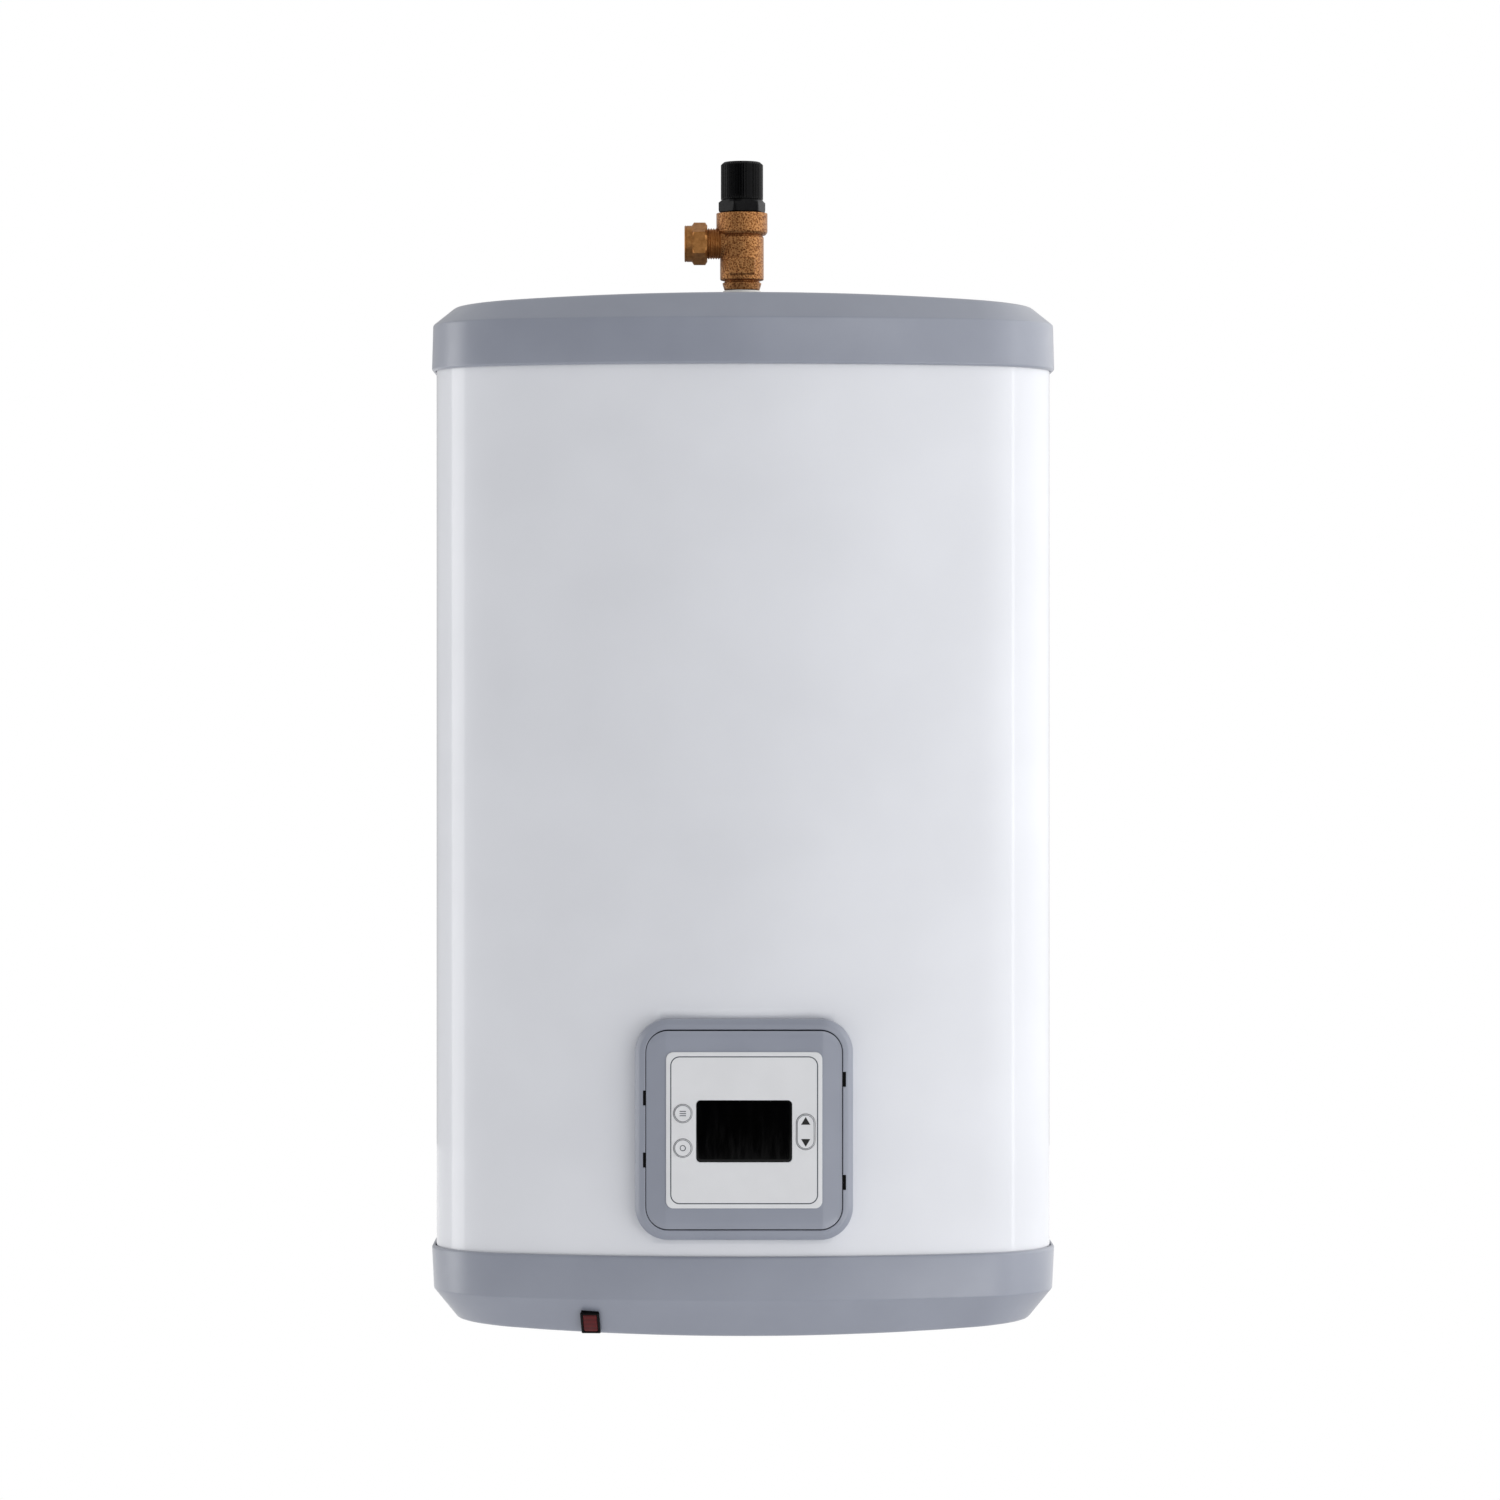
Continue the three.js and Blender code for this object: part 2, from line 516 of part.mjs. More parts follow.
function addPanel(panel) {
  const bezelBlank = new THREE.ExtrudeGeometry(roundedRect(PANEL.width, PANEL.height, PANEL.corner), {
    depth: 20,
    curveSegments: 3,
    bevelThickness: 5,
    bevelSize: 6,
    bevelOffset: -6,
    bevelSegments: 1,
  }).rotateX(QUARTER).translate(0, 25 - PANEL.proud, 0);
  const opening = facing(roundedRect(COVER.width + 1, COVER.height + 1, COVER.corner + 0.5), -40, 40);
  const caseFront = casePrism(GAP, -200, 200).translate(0, -CASE.frontY, 0);
  let bezel = solid(bezelBlank).subtract(solid(opening)).subtract(solid(caseFront));
  const clipSlots = [[-68.8, 22.1], [-68.8, -20.8], [69.3, 35], [69.3, -36.3]];
  for (const [x, z] of clipSlots) {
    bezel = bezel.subtract(solid(block(2.2, 6, 10.5, x, -PANEL.proud, z)));
  }
  add(panel, 'control_bezel', bezel, MATERIALS.greyAbs);

  const { foldX, front, edgeFront, wall, width, height, corner } = COVER;
  const profile = polygon([
    [-width / 2, -edgeFront], [-foldX, -front], [foldX, -front], [width / 2, -edgeFront],
    [width / 2, wall - edgeFront], [foldX, wall - front], [-foldX, wall - front], [-width / 2, wall - edgeFront],
  ]);
  const folded = solid(prism(profile, 2 * height).translate(0, 0, -height));
  const outline = solid(facing(roundedRect(width, height, corner), -40, 40));
  add(panel, 'control_cover', withHoles(folded.intersect(outline), -4), MATERIALS.greyAbs);

  const labelBack = LABEL.front - LABEL.thickness;
  const film = solid(facing(roundedRect(LABEL.size, LABEL.size, LABEL.corner), labelBack, LABEL.front, 2));
  add(panel, 'label_plate', withHoles(film, 0.6), MATERIALS.labelFilm);

  const pane = facing(roundedRect(WINDOW.width, WINDOW.height, WINDOW.corner), labelBack, WINDOW.front, 2);
  add(panel, 'display_window', pane, MATERIALS.blackGlass, 0, 0, WINDOW.z);
  const lcd = facing(roundedRect(58, 34, 1), 5.4, labelBack - GAP, 1);
  add(panel, 'lcd_module', lcd, MATERIALS.steel, 0, 0, WINDOW.z);

  const trayOuter = facing(roundedRect(TRAY.width, TRAY.height, 6), -TRAY.back, TRAY.front);
  const trayInner = facing(
    roundedRect(TRAY.width - 2 * TRAY.wall, TRAY.height - 2 * TRAY.wall, 4), -TRAY.back + TRAY.wall, 40,
  );
  let tray = solid(trayOuter).subtract(solid(trayInner)).subtract(solid(block(80, 80, 50)));
  const postReach = BOARD.size / 2 - 6;
  const boardBack = BOARD.front - BOARD.thickness;
  for (const [x, z] of [[1, 1], [-1, 1], [-1, -1], [1, -1]]) {
    const post = forward(rod(3.5, -TRAY.back + 1, boardBack - GAP, 8));
    tray = tray.add(solid(post.translate(x * postReach, 0, z * postReach)));
  }
  add(panel, 'control_housing', tray, MATERIALS.whitePlastic);

  const board = facing(roundedRect(BOARD.size, BOARD.size, 2), boardBack, BOARD.front, 1);
  add(panel, 'control_board', board, MATERIALS.circuitBoard);
  const relayBack = boardBack - GAP - 6.6;
  const relay = facing(roundedRect(20, 16, 0.5), relayBack, boardBack - GAP, 1);
  add(panel, 'relay', relay, MATERIALS.blackPlastic, 32, 0, 34);
  const terminals = facing(roundedRect(44, 12, 0.5), relayBack, boardBack - GAP, 1);
  add(panel, 'terminal_block', terminals, MATERIALS.whitePlastic, 0, 0, -34);

  const switchPlaces = {
    mode_switch: [KEY.x, KEY.upperZ],
    set_switch: [KEY.x, KEY.lowerZ],
    up_switch: [ROCKER.x, ROCKER.z + ROCKER.pressZ],
    down_switch: [ROCKER.x, ROCKER.z - ROCKER.pressZ],
  };
  for (const [name, [x, z]] of Object.entries(switchPlaces)) {
    add(panel, name, facing(roundedRect(6, 6, 0.4), BOARD.front + GAP, 2.2, 1), MATERIALS.blackPlastic, x, 0, z);
  }

  const cap = forward(turned([
    [0, 3.2], [2, 3.2], [2, 7.2], [7.6, 7.2], [7.6, 8.2], [KEY.radius, 8.2], [KEY.radius, KEY.front - 0.5],
    [KEY.radius - 0.5, KEY.front], [0, KEY.front],
  ], 14));
  add(panel, 'mode_key', cap, MATERIALS.labelFilm, KEY.x, 0, KEY.upperZ);
  add(panel, 'set_key', cap, MATERIALS.labelFilm, KEY.x, 0, KEY.lowerZ);

  const pill = roundedRect(ROCKER.width, ROCKER.height, ROCKER.width / 2 - 0.05);
  let rocker = solid(facing(pill, 7, KEY.front)).add(solid(facing(roundedRect(15.5, 27, 7.7), 6.6, 7.6)));
  for (const z of [-ROCKER.pressZ, ROCKER.pressZ]) {
    rocker = rocker.add(solid(forward(rod(2, 3.2, 8, 10)).translate(0, 0, z)));
  }
  add(panel, 'arrow_key', rocker, MATERIALS.labelFilm, ROCKER.x, 0, ROCKER.z);
}

// ---- relief valve ------------------------------------------------------------------------------

class Coil extends THREE.Curve {
  constructor(radius, low, high, turns) {
    super();
    Object.assign(this, { radius, low, high, turns });
  }

  getPoint(t, target = new THREE.Vector3()) {
    const angle = 2 * Math.PI * this.turns * t;
    const z = this.low + (this.high - this.low) * t;
    return target.set(this.radius * Math.cos(angle), this.radius * Math.sin(angle), z);
  }
}

function addValve(valve) {
  add(valve, 'valve_collar', ring(10.9, 13.9, NECK_BOSS.topZ - CROWN_Z + GAP, 15.1), MATERIALS.whitePlastic);

  const casting = turned([
    [VALVE.port, -40], [10.2, -40], [10.2, 15.4], [12.8, 15.4], [13.9, 21.4], [15.9, 22.1], [15.9, 54.4],
    [18.5, 58.4], [18.5, VALVE.top], [VALVE.chamber, VALVE.top], [VALVE.chamber, VALVE.seat],
    [VALVE.port, VALVE.seat],
  ], 20);
  const outlet = (radius, start, end) => solid(leftward(rod(radius, start, end)).translate(0, 0, VALVE.outletZ));
  const chamber = solid(rod(VALVE.chamber, VALVE.seat, VALVE.top + 5, 20));
  const body = solid(casting)
    .add(outlet(VALVE.neck, 10, VALVE.neckEnd))
    .add(solid(block(18.8, 8, 12, 0, -13.1, VALVE.padZ)))
    .subtract(chamber)
    .subtract(solid(rod(VALVE.port, -50, VALVE.seat + 1, 20)))
    .subtract(outlet(6.6, 5, 50))
    .subtract(outlet(7.8, 17, 50));
  add(valve, 'valve_body', body, MATERIALS.castBrass);

  const bonnet = turned([
    [9.5, 64], [12.2, 64], [12.2, VALVE.top + GAP], [16.95, VALVE.top + GAP], [16.95, 80.3], [13, 80.3],
    [13, 83.5], [3.1, 83.5], [3.1, 76], [9.5, 76],
  ], 16);
  add(valve, 'valve_bonnet', bonnet, MATERIALS.blackPlastic);

  const knob = turned([
    [0, 104], [2.8, 104], [2.8, 84.6], [13.5, 84.6], [13.5, 81.8], [15.5, 81.8], [15.5, 107.2],
    [14.8, 108.8], [13.2, 109.5], [0, 109.5],
  ], 20);
  add(valve, 'test_knob', knob, MATERIALS.blackPlastic);

  const discLow = VALVE.seat + 0.4;
  const discHigh = discLow + 3.6;
  add(valve, 'valve_disc', rod(10, discLow, discHigh), MATERIALS.rubber);
  add(valve, 'valve_spindle', rod(2.3, discHigh + GAP, 103.5, 12), MATERIALS.brightBrass);

  const wire = 1.1;
  const spring = new THREE.ExtrudeGeometry(circle(wire), {
    steps: 48,
    curveSegments: 3,
    extrudePath: new Coil(7, discHigh + GAP + 2 * wire, 76 - 2 * wire, 5),
  });
  add(valve, 'valve_spring', spring, MATERIALS.steel);

  const webs = solid(block(13.2, 2, 4, 0, 0, 31)).add(solid(block(2, 13.2, 4, 0, 0, 31)));
  add(valve, 'valve_probe', solid(rod(4.5, -170, 36.4, 14)).add(webs), MATERIALS.copper);

  const nutTurned = turned([
    [11.65, NUT.start], [15.6, NUT.start], [15.6, NUT.hexEnd], [NUT.round, NUT.hexEnd], [NUT.round, NUT.end],
    [7.9, NUT.end], [7.9, 39.5], [11.65, 36],
  ], 20);
  const nut = solid(nutTurned).intersect(solid(prism(hexagon(NUT.flats), 60)));
  add(valve, 'outlet_nut', geometryOf(nut).applyMatrix4(new THREE.Matrix4().makeRotationY(-QUARTER)),
    MATERIALS.brightBrass, 0, 0, VALVE.outletZ);
  const olive = turned([[7.7, 33.3], [9.2, 33.3], [10.4, 34.4], [10.4, 35.4], [9, 37.3], [7.7, 37.3]], 14);
  add(valve, 'outlet_olive', leftward(olive), MATERIALS.brightBrass, 0, 0, VALVE.outletZ);
}

const heater = new THREE.Group();
addCase(heater);
addHanging(heater);
addGland(heater);
const tank = group(heater, 0, TANK.y, 0);
addTank(tank);
addElement(tank);
addPipe(tank, 'cold', PIPE.x, -436);
addPipe(tank, 'hot', -PIPE.x, 85);
addDiffuser(tank);
addPanel(group(heater, 0, CASE.frontY, PANEL.z));
addValve(group(heater, 0, TANK.y, CROWN_Z));

export default heater;
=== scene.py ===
import json
import math
import bmesh
import bpy
import numpy as np
from mathutils import Matrix, Vector


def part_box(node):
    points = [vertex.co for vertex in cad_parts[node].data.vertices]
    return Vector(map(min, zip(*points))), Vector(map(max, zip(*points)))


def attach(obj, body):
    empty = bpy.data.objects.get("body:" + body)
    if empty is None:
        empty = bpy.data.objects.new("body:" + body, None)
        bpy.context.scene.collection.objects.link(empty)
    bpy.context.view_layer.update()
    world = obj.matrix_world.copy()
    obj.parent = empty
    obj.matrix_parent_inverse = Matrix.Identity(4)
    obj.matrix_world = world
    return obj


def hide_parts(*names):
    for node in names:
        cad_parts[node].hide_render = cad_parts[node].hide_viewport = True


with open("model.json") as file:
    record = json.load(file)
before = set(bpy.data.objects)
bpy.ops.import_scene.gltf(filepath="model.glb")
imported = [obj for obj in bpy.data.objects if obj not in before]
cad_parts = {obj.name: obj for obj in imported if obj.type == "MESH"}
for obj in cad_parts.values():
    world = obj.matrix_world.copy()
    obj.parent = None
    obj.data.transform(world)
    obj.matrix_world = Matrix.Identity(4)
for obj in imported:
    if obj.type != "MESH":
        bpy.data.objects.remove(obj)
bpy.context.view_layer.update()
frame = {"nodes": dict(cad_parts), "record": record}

mm = 0.001
scene = bpy.context.scene
print("frame loaded:", len(frame["nodes"]), "nodes")

# sizes in metres; what a CAD node can tell is read from its box
shellLow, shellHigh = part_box("body_shell")
topLow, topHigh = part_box("top_cap")
bottomLow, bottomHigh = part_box("bottom_cap")
caseForm = {"halfWidth": shellHigh.x, "frontY": shellLow.y, "backY": shellHigh.y,
            "bowRadius": 540 * mm, "frontCorner": 75 * mm, "backCorner": 60 * mm,
            "frontSteps": 120, "cornerSteps": 28, "sideSteps": 36}


# shape helpers

def scaled(points):
    # pairs given in millimetres
    return [(a * mm, b * mm) for a, b in points]


def addObject(name, mesh):
    piece = bpy.data.objects.new(name, mesh)
    scene.collection.objects.link(piece)
    return piece


def meshFromGrid(name, grid, wrapColumns=True, wrapRows=False, startCap=False, endCap=False, keep=None):
    # quads between neighbouring rows and columns of a grid of points; caps close the first and last row
    rows, columns = grid.shape[:2]
    index = np.arange(rows * columns).reshape(rows, columns)
    a = index if wrapRows else index[:-1]
    b = np.roll(index, -1, 0) if wrapRows else index[1:]
    if wrapColumns:
        quads = np.stack([a, np.roll(a, -1, 1), np.roll(b, -1, 1), b], -1)
    else:
        quads = np.stack([a[:, :-1], a[:, 1:], b[:, 1:], b[:, :-1]], -1)
    quads = quads.reshape(-1, 4)
    points = grid.reshape(-1, 3)
    if keep is not None:
        quads = quads[keep(points[quads].mean(1))]
    faces = quads.tolist()
    if startCap:
        faces.append(index[0, ::-1].tolist())
    if endCap:
        faces.append(index[-1].tolist())
    mesh = bpy.data.meshes.new(name)
    mesh.from_pydata(points.tolist(), [], faces)
    mesh.validate()
    return mesh


def faceOutwards(mesh):
    # merges doubled points, then turns every face of a closed shape outwards
    work = bmesh.new()
    work.from_mesh(mesh)
    bmesh.ops.remove_doubles(work, verts=work.verts, dist=1e-7)
    bmesh.ops.recalc_face_normals(work, faces=work.faces)
    work.to_mesh(mesh)
    work.free()


def closedPiece(name, grid, startCap=True, endCap=True, wrapRows=False):
    mesh = meshFromGrid(name, grid, True, wrapRows, startCap, endCap)
    faceOutwards(mesh)
    return addObject(name, mesh)


def smoothShade(piece, degrees=34):
    piece.data.shade_smooth()
    piece.data.set_sharp_from_angle(angle=math.radians(degrees))


def settle(piece):
    # applies the live modifiers
    dependencies = bpy.context.evaluated_depsgraph_get()
    dependencies.update()
    mesh = bpy.data.meshes.new_from_object(piece.evaluated_get(dependencies))
    piece.modifiers.clear()
    piece.data = mesh
    return piece


def cutBy(piece, cutters):
    # takes closed cutters out of a closed piece
    for cutter in cutters:
        cut = piece.modifiers.new("cut", "BOOLEAN")
        cut.operation, cut.solver, cut.object = "DIFFERENCE", "EXACT", cutter
    settle(piece)
    for cutter in cutters:
        bpy.data.objects.remove(cutter)
    return piece


def addBevel(piece, width, segments=2, degrees=40):
    bevel = piece.modifiers.new("edges", "BEVEL")
    bevel.width, bevel.segments, bevel.limit_method = width, segments, "ANGLE"
    bevel.angle_limit = math.radians(degrees)
    bevel.use_clamp_overlap = True
    return piece


def finishPiece(piece, material, body="root", replaces=(), degrees=34):
    piece.data.materials.clear()
    piece.data.materials.append(material)
    smoothShade(piece, degrees)
    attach(piece, body)
    if replaces:
        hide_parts(*replaces)
    return piece


def filletLine(corners, radii, steps=5):
    # open polyline whose inner corners are replaced by arcs tangent to both neighbours
    points = [np.array(corners[0], float)]
    for k in range(1, len(corners) - 1):
        before, here, after = (np.array(corners[j], float) for j in (k - 1, k, k + 1))
        toBefore = (before - here) / np.linalg.norm(before - here)
        toAfter = (after - here) / np.linalg.norm(after - here)
        half = math.acos(np.clip(toBefore @ toAfter, -1, 1)) / 2
        radius = radii[k - 1]
        if radius <= 0 or half > 1.56:
            points.append(here)
            continue
        back = radius / math.tan(half)
        middle = (toBefore + toAfter) / np.linalg.norm(toBefore + toAfter)
        centre = here + middle * radius / math.sin(half)
        start, end = here + toBefore * back - centre, here + toAfter * back - centre
        turn = np.linspace(0, 1, steps + 1)[:, None]
        sweep = math.pi - 2 * half
        arc = (start * np.sin((1 - turn) * sweep) + end * np.sin(turn * sweep)) / math.sin(sweep)
        points.extend(centre + arc)
    points.append(np.array(corners[-1], float))
    return np.array(points)


def loopOf(arcs, bridgeSteps):
    # closed loop of arcs joined by straight runs: points and outward normals, counter-clockwise
    samples = []
    for x, y, radius, start, end, steps in arcs:
        angle = np.linspace(start, end, steps)
        normal = np.stack([np.cos(angle), np.sin(angle)], 1)
        samples.append((np.array([x, y]) + radius * normal, normal))
    points, normals = [], []
    for k, (line, normal) in enumerate(samples):
        following = samples[(k + 1) % len(samples)]
        gap = np.linalg.norm(following[0][0] - line[-1])
        if gap < 1e-7:
            points.append(line[:-1])
            normals.append(normal[:-1])
            continue
        part = np.linspace(0, 1, bridgeSteps + 1)[1:-1, None]
        points.extend([line, line[-1] * (1 - part) + following[0][0] * part])
        normals.extend([normal, np.repeat(normal[-1:], len(part), 0)])
    return np.concatenate(points), np.concatenate(normals)


def casePlan():
    # bowed front, two front corners, straight sides, two back corners and a flat back
    form = caseForm
    reach = form["bowRadius"] - form["frontCorner"]
    cornerX = form["halfWidth"] - form["frontCorner"]
    spread = math.asin(cornerX / reach)
    bowY = form["frontY"] + form["bowRadius"]
    cornerY = bowY - reach * math.cos(spread)
    backX = form["halfWidth"] - form["backCorner"]
    backY = form["backY"] - form["backCorner"]
    quarter = math.pi / 2
    steps = form["cornerSteps"]
    arcs = [
        (0, bowY, form["bowRadius"], -quarter - spread, spread - quarter, form["frontSteps"]),
        (cornerX, cornerY, form["frontCorner"], spread - quarter, 0, steps),
        (backX, backY, form["backCorner"], 0, quarter, steps),
        (-backX, backY, form["backCorner"], quarter, 2 * quarter, steps),
        (-cornerX, cornerY, form["frontCorner"], 2 * quarter, 3 * quarter - spread, steps),
    ]
    return loopOf(arcs, form["sideSteps"])


def roundedLoop(width, height, radius, cornerSteps=9, bridgeSteps=2):
    quarter = math.pi / 2
    across, up = width / 2 - radius, height / 2 - radius
    corners = [(across, -up, -1), (across, up, 0), (-across, up, 1), (-across, -up, 2)]
    arcs = [(x, y, radius, k * quarter, (k + 1) * quarter, cornerSteps) for x, y, k in corners]
    return loopOf(arcs, bridgeSteps)


def slabGrid(width, height, radius, profile, cornerSteps=9, bridgeSteps=2):
    # rounded outline carried along a profile of (inset, depth): X, Z and -Y are across, up and forward
    points, normals = roundedLoop(width, height, radius, cornerSteps, bridgeSteps)
    rows = [np.column_stack([p[:, 0], np.full(len(p), -depth), p[:, 1]])
            for p, depth in ((points - normals * inset, depth) for inset, depth in profile)]
    return np.stack(rows)


def slab(name, width, height, radius, back, front, edge=0.3 * mm, at=(0, 0, 0), steps=9):
    # flat piece facing -Y: its outline is drawn in at the back, carried forward and rounded by a quarter arc
    depths = [(min(radius, width / 2) * 0.6, back), (0, back), (0, front - edge)]
    turn = np.linspace(0, math.pi / 2, 4)[1:]
    depths += [(edge * (1 - math.cos(t)), front - edge * (1 - math.sin(t))) for t in turn]
    depths += [(min(radius, width / 2) * 0.6, front)]
    grid = slabGrid(width, height, radius, depths, steps)
    return closedPiece(name, grid + np.array(at))


def lathe(profile, count=64, axis="z", at=(0, 0, 0), shape=None):
    # profile of (radius, height) turned about an axis; shape(angle, row) may change the radius
    profile = np.array(profile, float)
    angle = np.linspace(0, 2 * math.pi, count, endpoint=False)
    radius = np.repeat(profile[:, :1], count, 1)
    if shape is not None:
        radius = shape(angle[None, :], radius, profile[:, 1:])
    height = np.repeat(profile[:, 1:], count, 1)
    x, y = radius * np.cos(angle), radius * np.sin(angle)
    grid = {"z": (x, y, height), "-x": (-height, y, x), "-y": (x, -height, y)}[axis]
    return np.stack(grid, -1) + np.array(at)


def hexLimit(flats, turn=0.0):
    # keeps a turned radius within a hexagon: half the width over flats, over the cosine of the angle from a flat
    def shape(angle, radius, height):
        sector = (angle - turn + math.pi / 6) % (math.pi / 3) - math.pi / 6
        return np.minimum(radius, flats / 2 / np.cos(sector))
    return shape


# materials

def colour(code):
    # sRGB hex value as linear light
    parts = [int(code[k:k + 2], 16) / 255 for k in (1, 3, 5)]
    return tuple(c / 12.92 if c <= 0.04045 else ((c + 0.055) / 1.055) ** 2.4 for c in parts) + (1.0,)


def addNode(tree, kind, settings=(), links=()):
    # settings name colour stops, the node's own choices or its sockets; a link from a node takes its first output
    node = tree.nodes.new(kind)
    for key, value in dict(settings).items():
        if key == "stops":
            band = node.color_ramp.elements
            while len(band) < len(value):
                band.new(0.5)
            for element, (position, code) in zip(band, value):
                element.position, element.color = position, colour(code)
        elif isinstance(key, str) and hasattr(node, key):
            setattr(node, key, value)
        else:
            node.inputs[key].default_value = value
    for key, source in dict(links).items():
        tree.links.new(source.outputs[0] if hasattr(source, "outputs") else source, node.inputs[key])
    return node


def newMaterial(name):
    material = bpy.data.materials.new(name)
    material.use_nodes = True
    material.node_tree.nodes.clear()
    tree = material.node_tree
    return material, tree, addNode(tree, "ShaderNodeTexCoord").outputs["Object"]


def finishMaterial(material, tree, settings, links):
    surface = addNode(tree, "ShaderNodeBsdfPrincipled", settings, links)
    addNode(tree, "ShaderNodeOutputMaterial", {}, {"Surface": surface})
    return material


def stovedEnamel():
    # white baked enamel on sheet steel: smooth gloss with a faint orange peel about 3 mm across
    material, tree, place = newMaterial("white_stoved_enamel")
    cloud = addNode(tree, "ShaderNodeTexNoise", {"Scale": 1 / (90 * mm), "Detail": 2}, {"Vector": place})
    tint = addNode(tree, "ShaderNodeValToRGB", {"stops": [(0.35, "#E2E4EA"), (0.65, "#E6E8EE")]}, {"Fac": cloud})
    peel = addNode(tree, "ShaderNodeTexNoise", {"Scale": 1 / (3 * mm), "Detail": 2, "Roughness": 0.4},
                   {"Vector": place})
    bump = addNode(tree, "ShaderNodeBump", {"Distance": 0.012 * mm, "Strength": 0.5}, {"Height": peel})
    haze = addNode(tree, "ShaderNodeTexNoise", {"Scale": 1 / (30 * mm), "Detail": 4}, {"Vector": place})
    rough = addNode(tree, "ShaderNodeMapRange", {1: 0.3, 2: 0.7, 3: 0.30, 4: 0.38}, {0: haze})
    return finishMaterial(material, tree, {"IOR": 1.5, "Coat Weight": 0.6, "Coat Roughness": 0.04},
                          {"Base Color": tint, "Roughness": rough, "Normal": bump})


def mouldedAbs():
    # satin injection-moulded ABS: fine spark-eroded grain, drawn at 0.7 mm so that it shows
    material, tree, place = newMaterial("grey_moulded_abs")
    cloud = addNode(tree, "ShaderNodeTexNoise", {"Scale": 1 / (45 * mm), "Detail": 3}, {"Vector": place})
    tint = addNode(tree, "ShaderNodeValToRGB", {"stops": [(0.3, "#8B909E"), (0.7, "#9095A3")]}, {"Fac": cloud})
    grain = addNode(tree, "ShaderNodeTexNoise", {"Scale": 1 / (0.7 * mm), "Detail": 2, "Roughness": 0.6},
                    {"Vector": place})
    bump = addNode(tree, "ShaderNodeBump", {"Distance": 0.03 * mm, "Strength": 0.35}, {"Height": grain})
    haze = addNode(tree, "ShaderNodeTexNoise", {"Scale": 1 / (12 * mm), "Detail": 4}, {"Vector": place})
    rough = addNode(tree, "ShaderNodeMapRange", {1: 0.3, 2: 0.7, 3: 0.34, 4: 0.42}, {0: haze})
    return finishMaterial(material, tree, {"IOR": 1.53, "Coat Weight": 0.7, "Coat Roughness": 0.3},
                          {"Base Color": tint, "Roughness": rough, "Normal": bump})


def blackNylon():
    # glass-filled nylon, nearly black, slightly dull where the mould was rough
    material, tree, place = newMaterial("black_moulded_nylon")
    cloud = addNode(tree, "ShaderNodeTexNoise", {"Scale": 1 / (6 * mm), "Detail": 4}, {"Vector": place})
    tint = addNode(tree, "ShaderNodeValToRGB", {"stops": [(0.3, "#020203"), (0.75, "#060608")]}, {"Fac": cloud})
    haze = addNode(tree, "ShaderNodeTexNoise", {"Scale": 1 / (1.5 * mm), "Detail": 3}, {"Vector": place})
    rough = addNode(tree, "ShaderNodeMapRange", {1: 0.3, 2: 0.7, 3: 0.24, 4: 0.36}, {0: haze})
    grain = addNode(tree, "ShaderNodeTexNoise", {"Scale": 1 / (0.5 * mm), "Detail": 2}, {"Vector": place})
    bump = addNode(tree, "ShaderNodeBump", {"Distance": 0.02 * mm, "Strength": 0.5}, {"Height": grain})
    return finishMaterial(material, tree, {"IOR": 1.53, "Specular IOR Level": 0.1},
                          {"Base Color": tint, "Roughness": rough, "Normal": bump})


def whiteNylon():
    # natural nylon: warm white, waxy
    material, tree, place = newMaterial("natural_white_nylon")
    cloud = addNode(tree, "ShaderNodeTexNoise", {"Scale": 1 / (15 * mm), "Detail": 3}, {"Vector": place})
    tint = addNode(tree, "ShaderNodeValToRGB", {"stops": [(0.3, "#E2E1DC"), (0.7, "#ECEBE6")]}, {"Fac": cloud})
    grain = addNode(tree, "ShaderNodeTexNoise", {"Scale": 1 / (0.6 * mm), "Detail": 2}, {"Vector": place})
    bump = addNode(tree, "ShaderNodeBump", {"Distance": 0.02 * mm, "Strength": 0.4}, {"Height": grain})
    return finishMaterial(material, tree, {"IOR": 1.53, "Roughness": 0.42, "Subsurface Weight": 0.08,
                                           "Subsurface Radius": (0.002, 0.002, 0.002)},
                          {"Base Color": tint, "Normal": bump})


def printedFilm():
    # back-printed polycarbonate film: pale, very fine velvet grain
    material, tree, place = newMaterial("printed_polycarbonate_film")
    cloud = addNode(tree, "ShaderNodeTexNoise", {"Scale": 1 / (25 * mm), "Detail": 2}, {"Vector": place})
    tint = addNode(tree, "ShaderNodeValToRGB", {"stops": [(0.3, "#DEDFE2"), (0.7, "#E2E3E6")]}, {"Fac": cloud})
    grain = addNode(tree, "ShaderNodeTexNoise", {"Scale": 1 / (0.35 * mm), "Detail": 2}, {"Vector": place})
    bump = addNode(tree, "ShaderNodeBump", {"Distance": 0.01 * mm, "Strength": 0.4}, {"Height": grain})
    haze = addNode(tree, "ShaderNodeTexNoise", {"Scale": 1 / (5 * mm), "Detail": 3}, {"Vector": place})
    rough = addNode(tree, "ShaderNodeMapRange", {1: 0.3, 2: 0.7, 3: 0.34, 4: 0.42}, {0: haze})
    return finishMaterial(material, tree, {"IOR": 1.58}, {"Base Color": tint, "Roughness": rough, "Normal": bump})


def screenInk(name, dark, light):
    # screen-printed ink, slightly thinner in places
    material, tree, place = newMaterial(name)
    cloud = addNode(tree, "ShaderNodeTexNoise", {"Scale": 1 / (2 * mm), "Detail": 3}, {"Vector": place})
    tint = addNode(tree, "ShaderNodeValToRGB", {"stops": [(0.3, dark), (0.8, light)]}, {"Fac": cloud})
    return finishMaterial(material, tree, {"IOR": 1.5, "Roughness": 0.4}, {"Base Color": tint})


